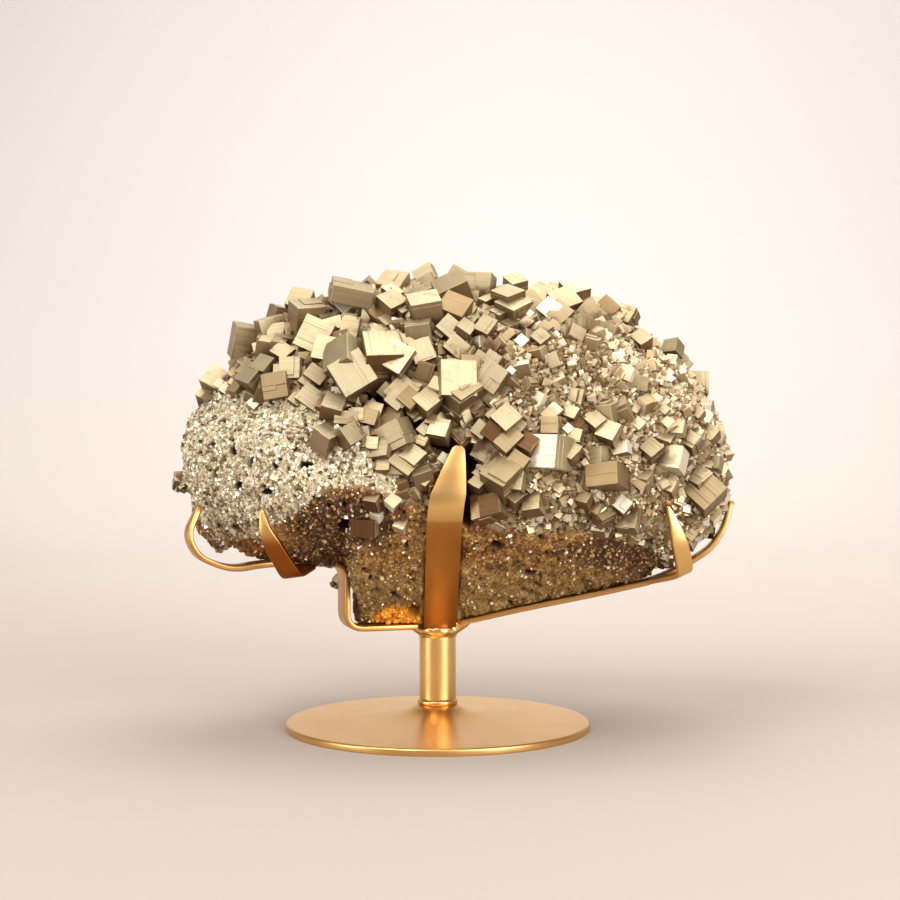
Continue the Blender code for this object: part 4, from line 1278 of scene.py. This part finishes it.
def block_template():
    """Faces of a bevelled block. Point 3 * corner + k lies on the face across axis k."""
    faces = []
    for k in range(3):
        a, b = (k + 1) % 3, (k + 2) % 3
        faces += [[3 * corner + k for corner in corner_ring(k, sign)] for sign in (-1, 1)]
        for sa in (-1, 1):
            for sb in (-1, 1):
                low, high = [0, 0, 0], [0, 0, 0]
                low[k], high[k] = -1, 1
                low[a] = high[a] = sa
                low[b] = high[b] = sb
                first, last = corner_at(low), corner_at(high)
                faces.append([3 * first + a, 3 * last + a, 3 * last + b, 3 * first + b])
    faces += [[3 * c, 3 * c + 1, 3 * c + 2] for c in range(8)]
    places = block_points(np.ones((1, 3)), np.array([0.1]))[0]
    for face in faces:
        corners = places[face]
        normal = np.cross(corners[1] - corners[0], corners[2] - corners[0])
        if normal.dot(corners.mean(axis=0)) < 0:
            face.reverse()
    return faces


def block_points(halves, bevels):
    """Points of many blocks about their own centres, shaped (blocks, 24, 3)."""
    keep = np.ones((3, 3)) - np.eye(3)
    inset = halves[:, None, :] - bevels[:, None, None] * keep[None, :, :]
    return (CORNER_SIGNS[None, :, None, :] * inset[:, None, :, :]).reshape(len(halves), 24, 3)


BLOCK_FACES = block_template()


def fast_mesh(name, verts, faces_by_size):
    """A mesh straight from arrays. faces_by_size holds arrays of faces with equal corners."""
    mesh = bpy.data.meshes.new(name)
    loops = np.concatenate([faces.ravel() for faces in faces_by_size])
    totals = np.concatenate([np.full(len(faces), faces.shape[1]) for faces in faces_by_size]).astype(int)
    starts = np.concatenate([[0], np.cumsum(totals)[:-1]])
    mesh.vertices.add(len(verts))
    mesh.vertices.foreach_set("co", (verts * MM).astype(np.float32).ravel())
    mesh.loops.add(len(loops))
    mesh.loops.foreach_set("vertex_index", loops.astype(np.int32))
    mesh.polygons.add(len(totals))
    mesh.polygons.foreach_set("loop_start", starts.astype(np.int32))
    mesh.update(calc_edges=True)
    mesh.validate()
    mesh.shade_flat()
    return mesh


def block_faces(plain):
    """Faces of many blocks: their sides, and the bevelled edges and corners of those not plain."""
    first = np.arange(len(plain))[:, None, None] * 24
    broken = first[~plain]
    sides = np.array([f for f in BLOCK_FACES if len({point % 3 for point in f}) == 1])
    edges = np.array([f for f in BLOCK_FACES if len({point % 3 for point in f}) == 2])
    corners = np.array([f for f in BLOCK_FACES if len(f) == 3])
    return [(first + sides).reshape(-1, 4), (broken + edges).reshape(-1, 4),
            (broken + corners).reshape(-1, 3)]


def blocks_mesh(name, blocks, pick, top_tone=1.0, chosen=None):
    """One mesh from many blocks, which are dicts.

    Each has its centre, axes, half sizes, bevel, family, foot, outward direction and size. Tones
    are drawn from 0 to top_tone; chosen gives some faces a tone of their own. Blocks marked
    plain are too fine for bevelled edges to show, so they have none.
    """
    count = len(blocks)
    column = {key: np.array([b[key] for b in blocks])
              for key in ("centre", "axes", "half", "bevel", "foot", "outward", "size")}
    plain = np.array([b.get("plain", False) for b in blocks])
    local = block_points(column["half"], np.where(plain, 0.0, column["bevel"]))
    local = local + np.array([b.get("offset", (0, 0, 0)) for b in blocks])[:, None, :]
    world = column["centre"][:, None, :] + np.einsum("nij,nki->nkj", column["axes"], local)
    world = np.clip(world, LIMITS[0], LIMITS[1])
    mesh = fast_mesh(name, world.reshape(-1, 3), block_faces(plain))
    families = [b["family"] for b in blocks]
    shifts = {f: (pick.uniform(0, 900, 3), pick.uniform(0, top_tone, (3, 2))) for f in sorted(set(families))}
    for (family, k, side), value in (chosen or {}).items():
        shifts[family][1][k][side] = value
    stripe = np.empty((count, 8, 3))
    tone = np.empty((count, 8, 3))
    positive = (CORNER_SIGNS > 0).astype(int)
    for k in range(3):
        offsets = np.array([shifts[f][0][k] for f in families])
        stripe[:, :, k] = local.reshape(count, 8, 3, 3)[:, :, k, (k + 2) % 3] + offsets[:, None]
        pairs = np.array([shifts[f][1][k] for f in families])
        tone[:, :, k] = pairs[:, positive[:, k]]
    above = world - column["foot"][:, None, :]
    rise = np.einsum("nkj,nj->nk", above, column["outward"]) / column["size"][:, None]
    crystal = np.array([(f * GOLDEN_SHARE) % 1.0 for f in families])
    for label, values in (("stripe", stripe.ravel()), ("tone", tone.ravel()), ("rise", rise.ravel()),
                          ("crystal", np.repeat(crystal, 24))):
        store(mesh, label, values)
    return mesh


print("faces in one block:", len(BLOCK_FACES))

# %% [markdown]
# ## Bars and steps
# For each large crystal, the faces that look away from the rock are covered with bars. Their
# widths and heights change a little from one to the next, as growth steps do. Some bars stop
# short of the face's end, which leaves a terrace.

# %% Grow the large crystals
NODULE_PLACE = (-138.4, -8.0, 133.0)       # the left end's nodule takes the place of a large crystal
NODULE_ROOM = 10.0


def step_height(edge):
    """How far growth steps rise on a crystal of this size."""
    return min(0.08, 0.004 * edge + 0.025)


def bar_blocks(pick, frame_of, halves, outward):
    """Bars over the outer faces of one crystal, as offsets and half sizes."""
    lip = step_height(2 * halves.max())
    made = []
    for k in range(3):
        along, over = (k + 1) % 3, (k + 2) % 3
        wide, long = halves[over], halves[along]
        for sign in (-1, 1):
            if (frame_of[k] * sign).dot(outward) < -0.25:
                continue
            count = int(pick.integers(3, 6)) if wide > 4.5 else int(pick.integers(2, 4))
            cuts = np.sort(pick.uniform(-0.86, 0.86, count - 1)) * wide
            limits = np.concatenate([[-wide], cuts, [wide]])
            level = pick.uniform(-0.3, 1.0) * lip
            for low, high in zip(limits, limits[1:]):
                if high - low < 0.35:
                    continue
                level = float(np.clip(level + pick.uniform(-0.9, 0.9) * lip, -0.7 * lip, lip))
                ends = [long - lip * pick.uniform(0, 1.2), long - lip * pick.uniform(0, 1.2)]
                if pick.random() < 0.14:
                    ends[int(pick.integers(0, 2))] -= long * pick.uniform(0.12, 0.7)
                offset, size = np.zeros(3), np.zeros(3)
                inner, outer = halves[k] - 2.2 * lip - 0.3, halves[k] + level
                offset[k], size[k] = sign * (inner + outer) / 2, (outer - inner) / 2
                offset[over], size[over] = (low + high) / 2, (high - low) / 2
                offset[along], size[along] = (ends[1] - ends[0]) / 2, (ends[0] + ends[1]) / 2
                made.append((offset, size))
    return made


def side_blocks(pick, halves, frame_of, outward, most=2):
    """Terraces: slabs laid on an outer face, flush with one corner of it."""
    made = []
    for _ in range(int(pick.integers(0, most + 1))):
        k = int(pick.integers(0, 3))
        sign = 1 if frame_of[k].dot(outward) > 0 else -1
        size = halves * pick.uniform(0.5, 0.93, 3)
        corner = np.sign(pick.uniform(-1, 1, 3))
        offset = corner * (halves - size) * pick.uniform(0.92, 1.03, 3)
        size[k] = halves[k] * 0.3
        offset[k] = sign * (halves[k] * 0.7 + 2 * halves[k] * pick.uniform(0.015, 0.06))
        made.append((offset, size))
    return made


def crystal_blocks(matrix, family, pick, most=2):
    """All blocks of one crystal."""
    columns = [matrix.to_3x3().col[k] / MM for k in range(3)]
    halves = np.array([column.length / 2 for column in columns])
    edge = float(2 * halves.max())
    centre = matrix.translation / MM
    axes = np.array([list(column.normalized()) for column in columns])
    near, normal = coarse_surface.find_nearest(centre)[:2]
    outward = np.array((centre - near) * 0.02 + normal * edge * 0.1 + Vector((0, -0.25, 0)))
    outward = outward / np.linalg.norm(outward)
    bevel = min(0.14, 0.006 * edge + 0.04)
    shapes = [(np.zeros(3), halves - step_height(edge))]
    shapes += bar_blocks(pick, axes, halves, outward)
    shapes += side_blocks(pick, halves, axes, outward, most)
    common = {"centre": np.array(centre), "axes": axes, "family": family, "foot": np.array(near),
              "outward": np.array(normal), "size": edge}
    return [dict(common, half=size, offset=offset, bevel=min(bevel, size.min() * 0.45))
            for offset, size in shapes]


large_pick = np.random.default_rng(31)
large_blocks = []
for number, matrix in enumerate(large_matrices):
    if (matrix.translation / MM - Vector(NODULE_PLACE)).length > NODULE_ROOM:
        large_blocks += crystal_blocks(matrix, number, large_pick)
print("blocks in the large crystals:", len(large_blocks))

# %% [markdown]
# Which face of a crystal flashes depends on where the lamps stand, to within a few degrees. In
# a model that is to look like one certain stone, those faces are better named. So a short list
# gives places, as the eye sees them, where a face is painted white as a glint, pale as painted
# light or brown as painted shade, and where a face is chestnut. A ray through each place finds
# the crystal and the face.

# %% Choose the faces painted as glints, light and shade
# tones that paint a face white as a glint, pale as lit and brown as shade; chestnut is a colour
PAINTED_GLINT_TONE, PAINTED_LIGHT_TONE, PAINTED_SHADE_TONE, CHESTNUT_TONE = 1.0, 0.0, 0.86, 0.93
CHOSEN_FACES = [
    (PAINTED_GLINT_TONE, [(-50.5, 226), (-38.5, 228.4), (61.2, 227.7), (56.3, 147.5), (134, 144.1), (16.8, 161.5),
                  (97.3, 121.8), (-120, 182.7), (63, 140.6), (129.6, 140.6)]),
    (PAINTED_LIGHT_TONE, [(-49.1, 230.5), (26.4, 153.2), (-80.7, 180), (-5.8, 171.8), (14.4, 153.7), (116, 147.2),
                 (140.5, 132.4), (-25, 205), (-47, 183), (-15, 235), (30, 226), (5, 190), (66.8, 149.9),
                 (122.5, 147.2), (7.8, 193.6), (18.7, 186.5), (-10.8, 223.1)]),
    (PAINTED_SHADE_TONE, [(-38.1, 201.8), (-16.8, 154.3), (2.3, 179.9), (98.5, 133), (35.7, 130.8), (34, 117.7),
                  (29.7, 154.8), (28.6, 135.7), (88.6, 135.7)]),
    (CHESTNUT_TONE, [(-40.8, 106.7), (-38, 117), (-33.7, 112.8), (26.9, 122.1), (-37, 122.6), (52.6, 155.4),
                     (34, 160.8)]),
]


def face_finder(matrices):
    """A search tree over the faces of unit cubes, two for each of three directions."""
    rings = [corner_ring(k, sign) for k in range(3) for sign in (-1, 1)]
    corners = [m @ (Vector(signs) / 2) / MM for m in matrices for signs in CORNER_SIGNS]
    faces = [[8 * number + corner for corner in ring] for number in range(len(matrices)) for ring in rings]
    return BVHTree.FromPolygons(corners, faces)


def choose_faces(matrices):
    """The tones of the listed faces, by crystal, direction and side."""
    finder = face_finder(matrices)
    chosen = {}
    for tone, places in CHOSEN_FACES:
        for across, height in places:
            sight = (Vector((across, 0, height)) - EYE).normalized()
            found = finder.ray_cast(EYE, sight)[2]
            if found is not None:
                chosen[found // 6, (found % 6) // 2, found % 2] = tone
    return chosen


shown_families = {block["family"] for block in large_blocks}
chosen_faces = {key: tone for key, tone in choose_faces(large_matrices).items() if key[0] in shown_families}
large_mesh = blocks_mesh("large_crystals", large_blocks, large_pick, 0.75, chosen_faces)
print("faces with a tone of their own:", len(chosen_faces))

# %% [markdown]
# ## The crystals' finish
# Pyrite is a metal to the eye: pale brass, with hardly any colour of its own in bright light.
# The shader takes four stored values. The stripe place drives grooves through a texture that
# changes in one direction only; the tone shifts each face a little, and paints the highest
# tones white as glints; the rise, which is measured from the rock, paints the roots dark
# brown as shade; the crystal's own number gives a few crystals a browner tarnish. Faces that
# look downward are painted brown as shade.

# %% Mix the crystals' finish
def mix_pyrite(name, spread, glints, shading, palest=rgb(202, 189, 155)):
    """Satin-bright striated pyrite, with roots and undersides painted brown as shade.

    spread says how far the tones of faces differ, glints is the share of faces painted white as
    glints, shading is how brown the undersides are painted as shade and palest is the colour of
    the palest faces.
    """
    made, tree, shader = new_material(name)
    stripe, tone = attribute(tree, "stripe"), attribute(tree, "tone")
    rise, crystal = attribute(tree, "rise"), attribute(tree, "crystal")
    line = add_node(tree, "ShaderNodeCombineXYZ", {"X": stripe}).outputs[0]
    fine_lines = noise_texture(tree, line, 5.0, 3.0)
    lines = math_node(tree, "MULTIPLY_ADD", noise_texture(tree, line, 1.3, 1.0), 0.6, fine_lines)
    shade = math_node(tree, "MULTIPLY", tone, spread)
    pale = blend(tree, shade, palest, rgb(122, 97, 55))
    groove = remap(tree, lines, 0.55, 0.0, 0.62, 0.88)
    pale = blend(tree, groove, pale, rgb(134, 108, 68))
    tarnish = remap(tree, crystal, 0.0, 0.45, 0.7, 0.97)
    pale = blend(tree, tarnish, pale, rgb(136, 100, 50))
    # painted shade: faces that look downward are painted brown
    facing = add_node(tree, "ShaderNodeSeparateXYZ",
                      {"Vector": add_node(tree, "ShaderNodeNewGeometry").outputs["Normal"]}).outputs["Z"]
    underside_shade = remap(tree, facing, shading, 0.0, -0.5, 0.02)
    pale = blend(tree, underside_shade, pale, rgb(88, 56, 22))
    # painted shade: low on each crystal, near the rock, the colour runs to dark brown and the shine goes; a
    # slow cloud varies how far
    patch = cloud(tree, 150.0, 4.0)
    root = math_node(tree, "ADD", remap(tree, rise, 1.0, 0.0, -0.05, 0.36),
                     remap(tree, patch, -0.5, 0.5, 0.3, 0.7))
    root_shade = remap(tree, root, 0.0, 1.0, 0.35, 0.95)
    # painted shade: the lower part of each crystal darkens towards its root
    depth = remap(tree, rise, 0.5, 0.0, 0.0, 0.62)
    pale = blend(tree, depth, pale, rgb(104, 74, 34))
    colour = blend(tree, root_shade, pale, rgb(80, 50, 20))
    off_chestnut = math_node(tree, "ABSOLUTE", math_node(tree, "SUBTRACT", tone, CHESTNUT_TONE))
    chestnut = math_node(tree, "LESS_THAN", off_chestnut, 0.004)
    chestnut_lines = blend(tree, groove, rgb(98, 64, 34), rgb(48, 30, 14))
    colour = blend(tree, math_node(tree, "MULTIPLY", chestnut, 0.9), colour, chestnut_lines)
    # painted glints: faces with the highest tones are painted near white and made less metallic
    glint = remap(tree, tone, 0.0, 1.0, 1.0 - glints, 1.001 - glints)
    flash = blend(tree, groove, rgb(248, 241, 224), rgb(190, 172, 136))
    colour = blend(tree, math_node(tree, "MULTIPLY", glint, 0.68), colour, flash)
    tree.links.new(colour, shader.inputs["Base Color"])
    metal = math_node(tree, "MULTIPLY_ADD", glint, -0.3, remap(tree, root_shade, 0.82, 0.3))
    tree.links.new(metal, shader.inputs["Metallic"])
    satin = remap(tree, patch, 0.40, 0.52, 0.3, 0.7)
    tree.links.new(math_node(tree, "MULTIPLY_ADD", root_shade, 0.15, satin), shader.inputs["Roughness"])
    bump = add_node(tree, "ShaderNodeBump", {"Height": lines, "Strength": 0.4, "Distance": 0.0002})
    tree.links.new(bump.outputs["Normal"], shader.inputs["Normal"])
    return made


# the sparkle and bright copies are painted paler, as painted light, with more faces painted white as glints
# and undersides painted less dark
pyrite_finish = mix_pyrite("pyrite_crystal", 0.7, 0.05, 0.7)
sparkling_finish = mix_pyrite("pyrite_sparkle", 0.85, 0.14, 0.45, rgb(226, 211, 176))
bright_finish = mix_pyrite("pyrite_bright", 0.5, 0.6, 0.4, rgb(234, 220, 184))
show("large_crystals", large_mesh, pyrite_finish)
print("triangles in the large crystals:", sum(len(p.vertices) - 2 for p in large_mesh.polygons))

# %% [markdown]
# ## Scattering smaller crystals
# Smaller crystals fill the ground between the large ones. Spots are drawn at random over the
# rock's triangles, larger triangles more often, and kept or dropped by the share of the ground
# that they fall on. A grid of cells remembers what is already there, so crystals crowd without
# piling up. Spots inside a large crystal or in front of a strip are dropped.

# %% Scatter smaller crystals
inverses = [np.array(m.inverted()) for m in large_matrices]


def inside_large(spots, margin=0.47):
    """True for spots within a large crystal, whose faces lie at 0.5 in its own units."""
    buried = np.zeros(len(spots), bool)
    padded = np.c_[spots * MM, np.ones(len(spots))]
    for inverse in inverses:
        local = padded @ inverse.T
        buried |= (np.abs(local[:, :3]) < margin).all(axis=1)
    return buried


def random_spots(pick, count):
    """Spots over the fine rock, with their normals and their shares of the grounds."""
    corners = points[triangles]
    areas = np.linalg.norm(np.cross(corners[:, 1] - corners[:, 0], corners[:, 2] - corners[:, 0]), axis=1)
    chosen = pick.choice(len(triangles), count, p=areas / areas.sum())
    weights = pick.dirichlet((1, 1, 1), count)
    spots = np.einsum("nk,nkj->nj", weights, corners[chosen])
    facing = np.einsum("nk,nkj->nj", weights, normals[triangles[chosen]])
    facing = facing / np.linalg.norm(facing, axis=1)[:, None]
    shares = {label: (values[triangles[chosen]] * weights).sum(axis=1) for label, values in (
        ("matrix", matrix_share), ("lobe", lobe_share), ("slope", slope_share),
        ("crown", crown_share), ("hollow", hollow), ("chocolate", chocolate_share),
        ("amber", amber_share))}
    return spots, facing, shares


def thin_out(spots, edges, spacing, cell):
    """Numbers of the spots that keep their distance from those kept before."""
    kept = []
    grid = {}
    for index in range(len(spots)):
        key = tuple((spots[index] // cell).astype(int))
        near = [grid.get((key[0] + i, key[1] + j, key[2] + k), ()) for i in (-1, 0, 1)
                for j in (-1, 0, 1) for k in (-1, 0, 1)]
        crowd = any(np.abs(spots[index] - spots[other]).max() < spacing * (edges[index] + edges[other]) / 2
                    for others in near for other in others)
        if not crowd:
            kept.append(index)
            grid.setdefault(key, []).append(index)
    return np.array(kept, int)


def random_axes(pick, facing, lean):
    """Cube directions that stand on corner or edge, turned at random about the normal."""
    made = []
    for normal in facing:
        turn = Matrix.Rotation(pick.uniform(0, math.tau), 3, "Z")
        tip = Matrix.Rotation(pick.uniform(*lean), 3, "X") @ Matrix.Rotation(pick.uniform(*lean), 3, "Y")
        outward = Vector(normal).to_track_quat("Z", "Y").to_matrix()
        made.append(np.array((outward @ turn @ tip).transposed()))
    return made


def scatter(seed, tries, sizes, chances, spacing, lean=(0.2, 1.1)):
    """Spots, normals, edges and axes of one kind of small crystal, and the draws that made them.

    sizes gives the least and the largest edge, chances the share of spots kept on each ground,
    and lean the radians by which a crystal may tip.
    """
    pick = np.random.default_rng(seed)
    spots, facing, shares = random_spots(pick, tries)
    edges = sizes[0] + (sizes[1] - sizes[0]) * pick.random(tries) ** 1.8
    chance = sum(shares[label] * value for label, value in chances.items())
    wanted = (pick.random(tries) < chance) & (shares["hollow"] < 0.2)
    if "amber" not in chances:
        wanted &= shares["amber"] < 0.25
    wanted &= ~inside_large(spots)
    reach = edges[:, None] * 0.95
    wanted &= ((spots - reach > LIMITS[0]) & (spots + reach < LIMITS[1])).all(axis=1)
    spots, facing, edges = spots[wanted], facing[wanted], edges[wanted]
    kept = thin_out(spots, edges, spacing, sizes[1] * spacing)
    spots, facing, edges = spots[kept], facing[kept], edges[kept]
    free = np.array([s[2] > ABOVE_THE_METAL or metal_gap(Vector(s)) > STRIP_ROOM + e * 0.62
                     for s, e in zip(spots, edges)], bool)
    spots, facing, edges = spots[free], facing[free], edges[free]
    return spots, facing, edges, random_axes(pick, facing, lean), pick


def scattered_blocks(spots, facing, edges, axes, pick, first_family, rise=0.18, extra=0.0, plain=False):
    """Blocks for scattered crystals, some with a smaller block beside them."""
    made = []
    for number, (spot, normal, edge, frame_of) in enumerate(zip(spots, facing, edges, axes)):
        common = {"centre": spot + normal * edge * rise, "axes": frame_of, "family": first_family + number,
                  "foot": spot, "outward": normal, "size": edge, "bevel": 0.02 * edge + 0.03, "plain": plain}
        made.append(dict(common, half=edge / 2 * pick.uniform(0.8, 1.15, 3)))
        if pick.random() < extra:
            offset, size = pick.uniform(-0.35, 0.35, 3) * edge, edge * pick.uniform(0.25, 0.45, 3)
            made.append(dict(common, half=size, offset=offset))
    return made


def neighbour_axes(spot, pick, reach=24.0, play=0.1):
    """Directions like those of the nearest large crystal, turned by a few degrees."""
    away = [(matrix.translation / MM - Vector(spot)).length for matrix in large_matrices]
    nearest = int(np.argmin(away))
    if away[nearest] > reach:
        return None
    turn = Matrix.Rotation(pick.uniform(-play, play), 3, "X")
    turn = turn @ Matrix.Rotation(pick.uniform(-play, play), 3, "Z")
    columns = large_matrices[nearest].to_3x3().col
    return [turn @ columns[k].normalized() for k in range(3)]


# the right shoulder carries small crystals only: its left end, and how far back it goes
SHOULDER_LEFT_END = 98
SHOULDER_BACK = 45


def interlocking(seed, tries, sizes, chances, spacing, first_family, alike):
    """Larger crystals that grow through one another between the placed ones.

    alike is the share that grows parallel to the nearest large crystal.
    """
    spots, facing, edges, axes, pick = scatter(seed, tries, sizes, chances, spacing, (0.3, 1.2))
    made = []
    for number, (spot, normal, edge, frame_of) in enumerate(zip(spots, facing, edges, axes)):
        if spot[0] > SHOULDER_LEFT_END and spot[1] < SHOULDER_BACK:
            continue
        centre = Vector(spot + normal * edge * 0.08)
        parallel = neighbour_axes(spot, pick) if pick.random() < alike else None
        matrix = cube_matrix(centre, parallel or [Vector(axis) for axis in frame_of], edge)
        slimmer = Matrix.Diagonal((*pick.uniform(0.5, 1.0, 3), 1.0))
        core, *bars = crystal_blocks(cleared(matrix @ slimmer), first_family + number, pick, 1)
        made += [core] + [dict(bar, plain=True) for bar in bars]
    return made


filling_blocks = interlocking(40, 20000, (7.5, 17.0), {"crown": 1.0}, 0.5, 600, 0.85)
filling_mesh = blocks_mesh("interlocking_crystals", filling_blocks, np.random.default_rng(40), 0.85)
show("interlocking_crystals", filling_mesh, pyrite_finish)
print("interlocking crystals:", len({block["family"] for block in filling_blocks}),
      "blocks:", len(filling_blocks))

medium = scatter(41, 26000, (4.5, 8.5), {"crown": 0.8, "slope": 0.05}, 0.72)
medium_blocks = scattered_blocks(*medium, 1000, rise=0.04, extra=0.8)
medium_mesh = blocks_mesh("medium_crystals", medium_blocks, medium[4])
show("medium_crystals", medium_mesh, sparkling_finish)
print("medium crystals:", len(medium[0]))

small = scatter(42, 160000, (1.2, 4.0), {"crown": 0.3, "slope": 1.0, "lobe": 0.004}, 0.55)
small_blocks = scattered_blocks(*small, 5000, rise=0.12, plain=True)
small_mesh = blocks_mesh("small_crystals", small_blocks, small[4])
show("small_crystals", small_mesh, sparkling_finish)
print("small crystals:", len(small[0]))

# %% [markdown]
# A few small crystals sit in places of their own, along the foot of the lobe and the rim; most
# of them are painted white as glints. They go through the same steps as the large ones, with
# fewer numbers: where no directions are given, the crystal stands on its corner.

# %% Set the small bright crystals
CORNER_UP = (45, 140, 270)
BRIGHT_CRYSTALS = [
    (-100, 173, 5.5), (61, 166, 6.5), (150, 112, 6.5), (-32, 115, 6, 45, 150, 270), (-24, 119, 6.5),
    (-19, 108, 6, 60, 160, 290), (31.8, 173.4, 4.5), (40, 191.4, 4), (46, 206.7, 5.5), (50.4, 223.1, 3.5),
    (71.2, 159.7, 4.5), (81.5, 141.2, 4.5), (66.3, 127, 4.5), (149.8, 121, 4), (-16.2, 136.3, 5),
    (-22.8, 139, 3.5), (126.3, 190.9, 3.5), (107.2, 196.9, 4), (119.2, 176.1, 4.5), (125.2, 163, 5),
    (109.4, 161.9, 5.5), (-92, 148, 3), (-88, 134, 4, 60, 160, 290), (-62, 139, 3, 50, 150, 280),
    (-110, 107, 4, 30, 140, 265),
]
DULL_CRYSTALS = [
    (-10, 185, 5, 40, 150, 265), (1, 183, 7, 60, 160, 290), (-33, 152, 6, 85, 178, 300), (110, 129, 6.5),
    (133, 160, 7, 80, 175, 300), (127, 128, 7, 60, 160, 290), (81, 122, 6.5, 60, 165, 290),
    (42, 122, 7, 40, 145, 270), (-7, 131, 6.5, 50, 150, 280), (76.6, 161.9, 5.5), (-7.5, 158.6, 5.5),
    (-7.5, 153, 5.5, 60, 160, 290), (123.6, 170.1, 4.5), (129.6, 179.9, 3.5),
]


def placed_blocks(rows, first_family, seed):
    """Blocks of small crystals that are listed by place."""
    pick = np.random.default_rng(seed)
    made = []
    for number, row in enumerate(rows):
        full = row if len(row) == 6 else (*row, *CORNER_UP)
        made += crystal_blocks(cleared(crystal_matrix(full, coarse_surface)), first_family + number, pick, 1)
    return made


# rows, number of the first crystal, seed and finish
LISTED_CRYSTALS = {
    "bright_crystals": (BRIGHT_CRYSTALS, 9000, 51, bright_finish),
    "dull_crystals": (DULL_CRYSTALS, 9100, 52, pyrite_finish),
}
for name, (rows, first_family, seed, finish) in LISTED_CRYSTALS.items():
    blocks = placed_blocks(rows, first_family, seed)
    show(name, blocks_mesh(name, blocks, np.random.default_rng(seed)), finish)
print("small crystals placed one by one:", len(BRIGHT_CRYSTALS) + len(DULL_CRYSTALS))

# %% [markdown]
# The left end carries a nodule, a ball of crystals that stands out from the crust, and a
# smaller knot of them sits low beside the upright part of the left arm. Their crystals are
# drawn at random inside a ball, and overlap enough to hide one another's middles.

# %% Gather the knots of crystals
NODULE_RADII = (4.8, 6.0, 5.4)
KNOT_PLACE = (-53.4, 4.0, 78.4)
KNOT_RADII = (6.2, 4.2, 4.6)
KNOT_THICKNESS = 7.0                       # over this the finish runs from brown root to clean face


def gathered_mesh(name, place, radii, count, sizes, family, seed):
    """One mesh of crystals that crowd inside a ball."""
    pick = np.random.default_rng(seed)
    made = []
    for number in range(count):
        ray = pick.normal(size=3)
        ray = ray / np.linalg.norm(ray)
        spot = np.array(place) + ray * np.array(radii) * pick.uniform(0.35, 0.85)
        turned = random_axes(pick, [ray], (0.0, 1.5))[0]
        edge = pick.uniform(*sizes)
        made.append({"centre": spot, "axes": turned, "family": family + number, "foot": np.array(place),
                     "outward": ray, "size": KNOT_THICKNESS, "bevel": 0.05,
                     "half": edge / 2 * pick.uniform(0.7, 1.2, 3)})
    return blocks_mesh(name, made, pick)


nodule_mesh = gathered_mesh("end_nodule", NODULE_PLACE, NODULE_RADII, 46, (2.4, 5.0), 9200, 53)
show("end_nodule", nodule_mesh, pyrite_finish)
knot_mesh = gathered_mesh("low_knot", KNOT_PLACE, KNOT_RADII, 40, (1.8, 3.6), 9300, 54)
show("low_knot", knot_mesh, pyrite_finish)
print("faces in the knots:", len(nodule_mesh.polygons), len(knot_mesh.polygons))

# %% [markdown]
# ## Sugar and grit
# The lobe's crust and the matrix carry grains of about a millimetre: pale sugar on the lobe,
# grit and a few sparks painted near white as glints on the matrix, and amber quartz at its foot.
# At that size a plain eight-cornered block is enough, and thousands fit in one mesh.

# %% Sprinkle the grains
def grains_mesh(name, spots, facing, edges, axes, pick, rise):
    """One mesh of plain little blocks."""
    count = len(spots)
    stretch = edges[:, None] / 2 * pick.uniform(0.7, 1.3, (count, 3))
    local = CORNER_SIGNS[None] * stretch[:, None, :]
    centres = spots + facing * edges[:, None] * rise
    world = centres[:, None, :] + np.einsum("nij,nki->nkj", np.array(axes), local)
    world = np.clip(world, LIMITS[0], LIMITS[1])
    faces = np.array([corner_ring(k, sign)[::sign] for k in range(3) for sign in (-1, 1)])
    first = np.arange(count)[:, None, None] * 8
    mesh = fast_mesh(name, world.reshape(-1, 3), [(first + faces).reshape(-1, 4)])
    store(mesh, "tone", np.repeat(pick.random(count), 8))
    return mesh


def mix_grains(name, pale, dull, metallic, low=None):
    """Tiny crystals, from pale to dull by their own tone; low is the colour at the stone's foot."""
    made, tree, shader = new_material(name)
    tone = attribute(tree, "tone")
    patch = cloud(tree, 90.0)
    share = math_node(tree, "MULTIPLY", remap(tree, tone, 0.0, 1.2, 0.35, 0.95),
                      remap(tree, patch, 0.55, 1.2, 0.35, 0.65))
    colour = blend(tree, share, pale, dull)
    if low:
        place = add_node(tree, "ShaderNodeTexCoord").outputs["Object"]
        rise = add_node(tree, "ShaderNodeSeparateXYZ", {"Vector": place}).outputs["Z"]
        colour = blend(tree, remap(tree, rise, 0.6, 0.0, 0.074, 0.094), colour, low)
    tree.links.new(colour, shader.inputs["Base Color"])
    shader.inputs["Metallic"].default_value = metallic
    tree.links.new(remap(tree, tone, 0.22, 0.5), shader.inputs["Roughness"])
    return made


GRAIN_LEAN = (0.0, 1.5)
# the grains, how far they stand out as a share of their size, and their finish
GRAINS = {
    "lobe_sugar": (scatter(43, 150000, (0.7, 1.9), {"lobe": 1.0, "slope": 0.05}, 0.62, GRAIN_LEAN), 0.12,
                   mix_grains("pyrite_sugar", rgb(228, 218, 192), rgb(108, 84, 46), 0.3)),
    "matrix_grit": (scatter(44, 70000, (0.6, 1.6), {"matrix": 0.45, "slope": 0.15, "crown": 0.1}, 0.7,
                            GRAIN_LEAN), 0.06,
                    mix_grains("pyrite_grit", rgb(182, 142, 88), rgb(94, 60, 30), 0.3, rgb(158, 136, 88))),
    # the sparks are grains painted near white, as painted glints
    "matrix_sparks": (scatter(46, 16000, (0.7, 1.7), {"matrix": 0.09}, 1.5, GRAIN_LEAN), 0.3,
                      mix_grains("pyrite_spark", rgb(255, 250, 238), rgb(214, 190, 140), 0.3)),
    "amber_grains": (scatter(45, 60000, (0.8, 2.4), {"amber": 1.0}, 0.6, GRAIN_LEAN), 0.05,
                     mix_grains("amber_quartz", rgb(250, 186, 72), rgb(198, 112, 20), 0.1)),
}
for name, (grains, rise, finish) in GRAINS.items():
    show(name, grains_mesh(name, *grains, rise), finish)
print("grains:", {name: len(grains[0]) for name, (grains, _, _) in GRAINS.items()})
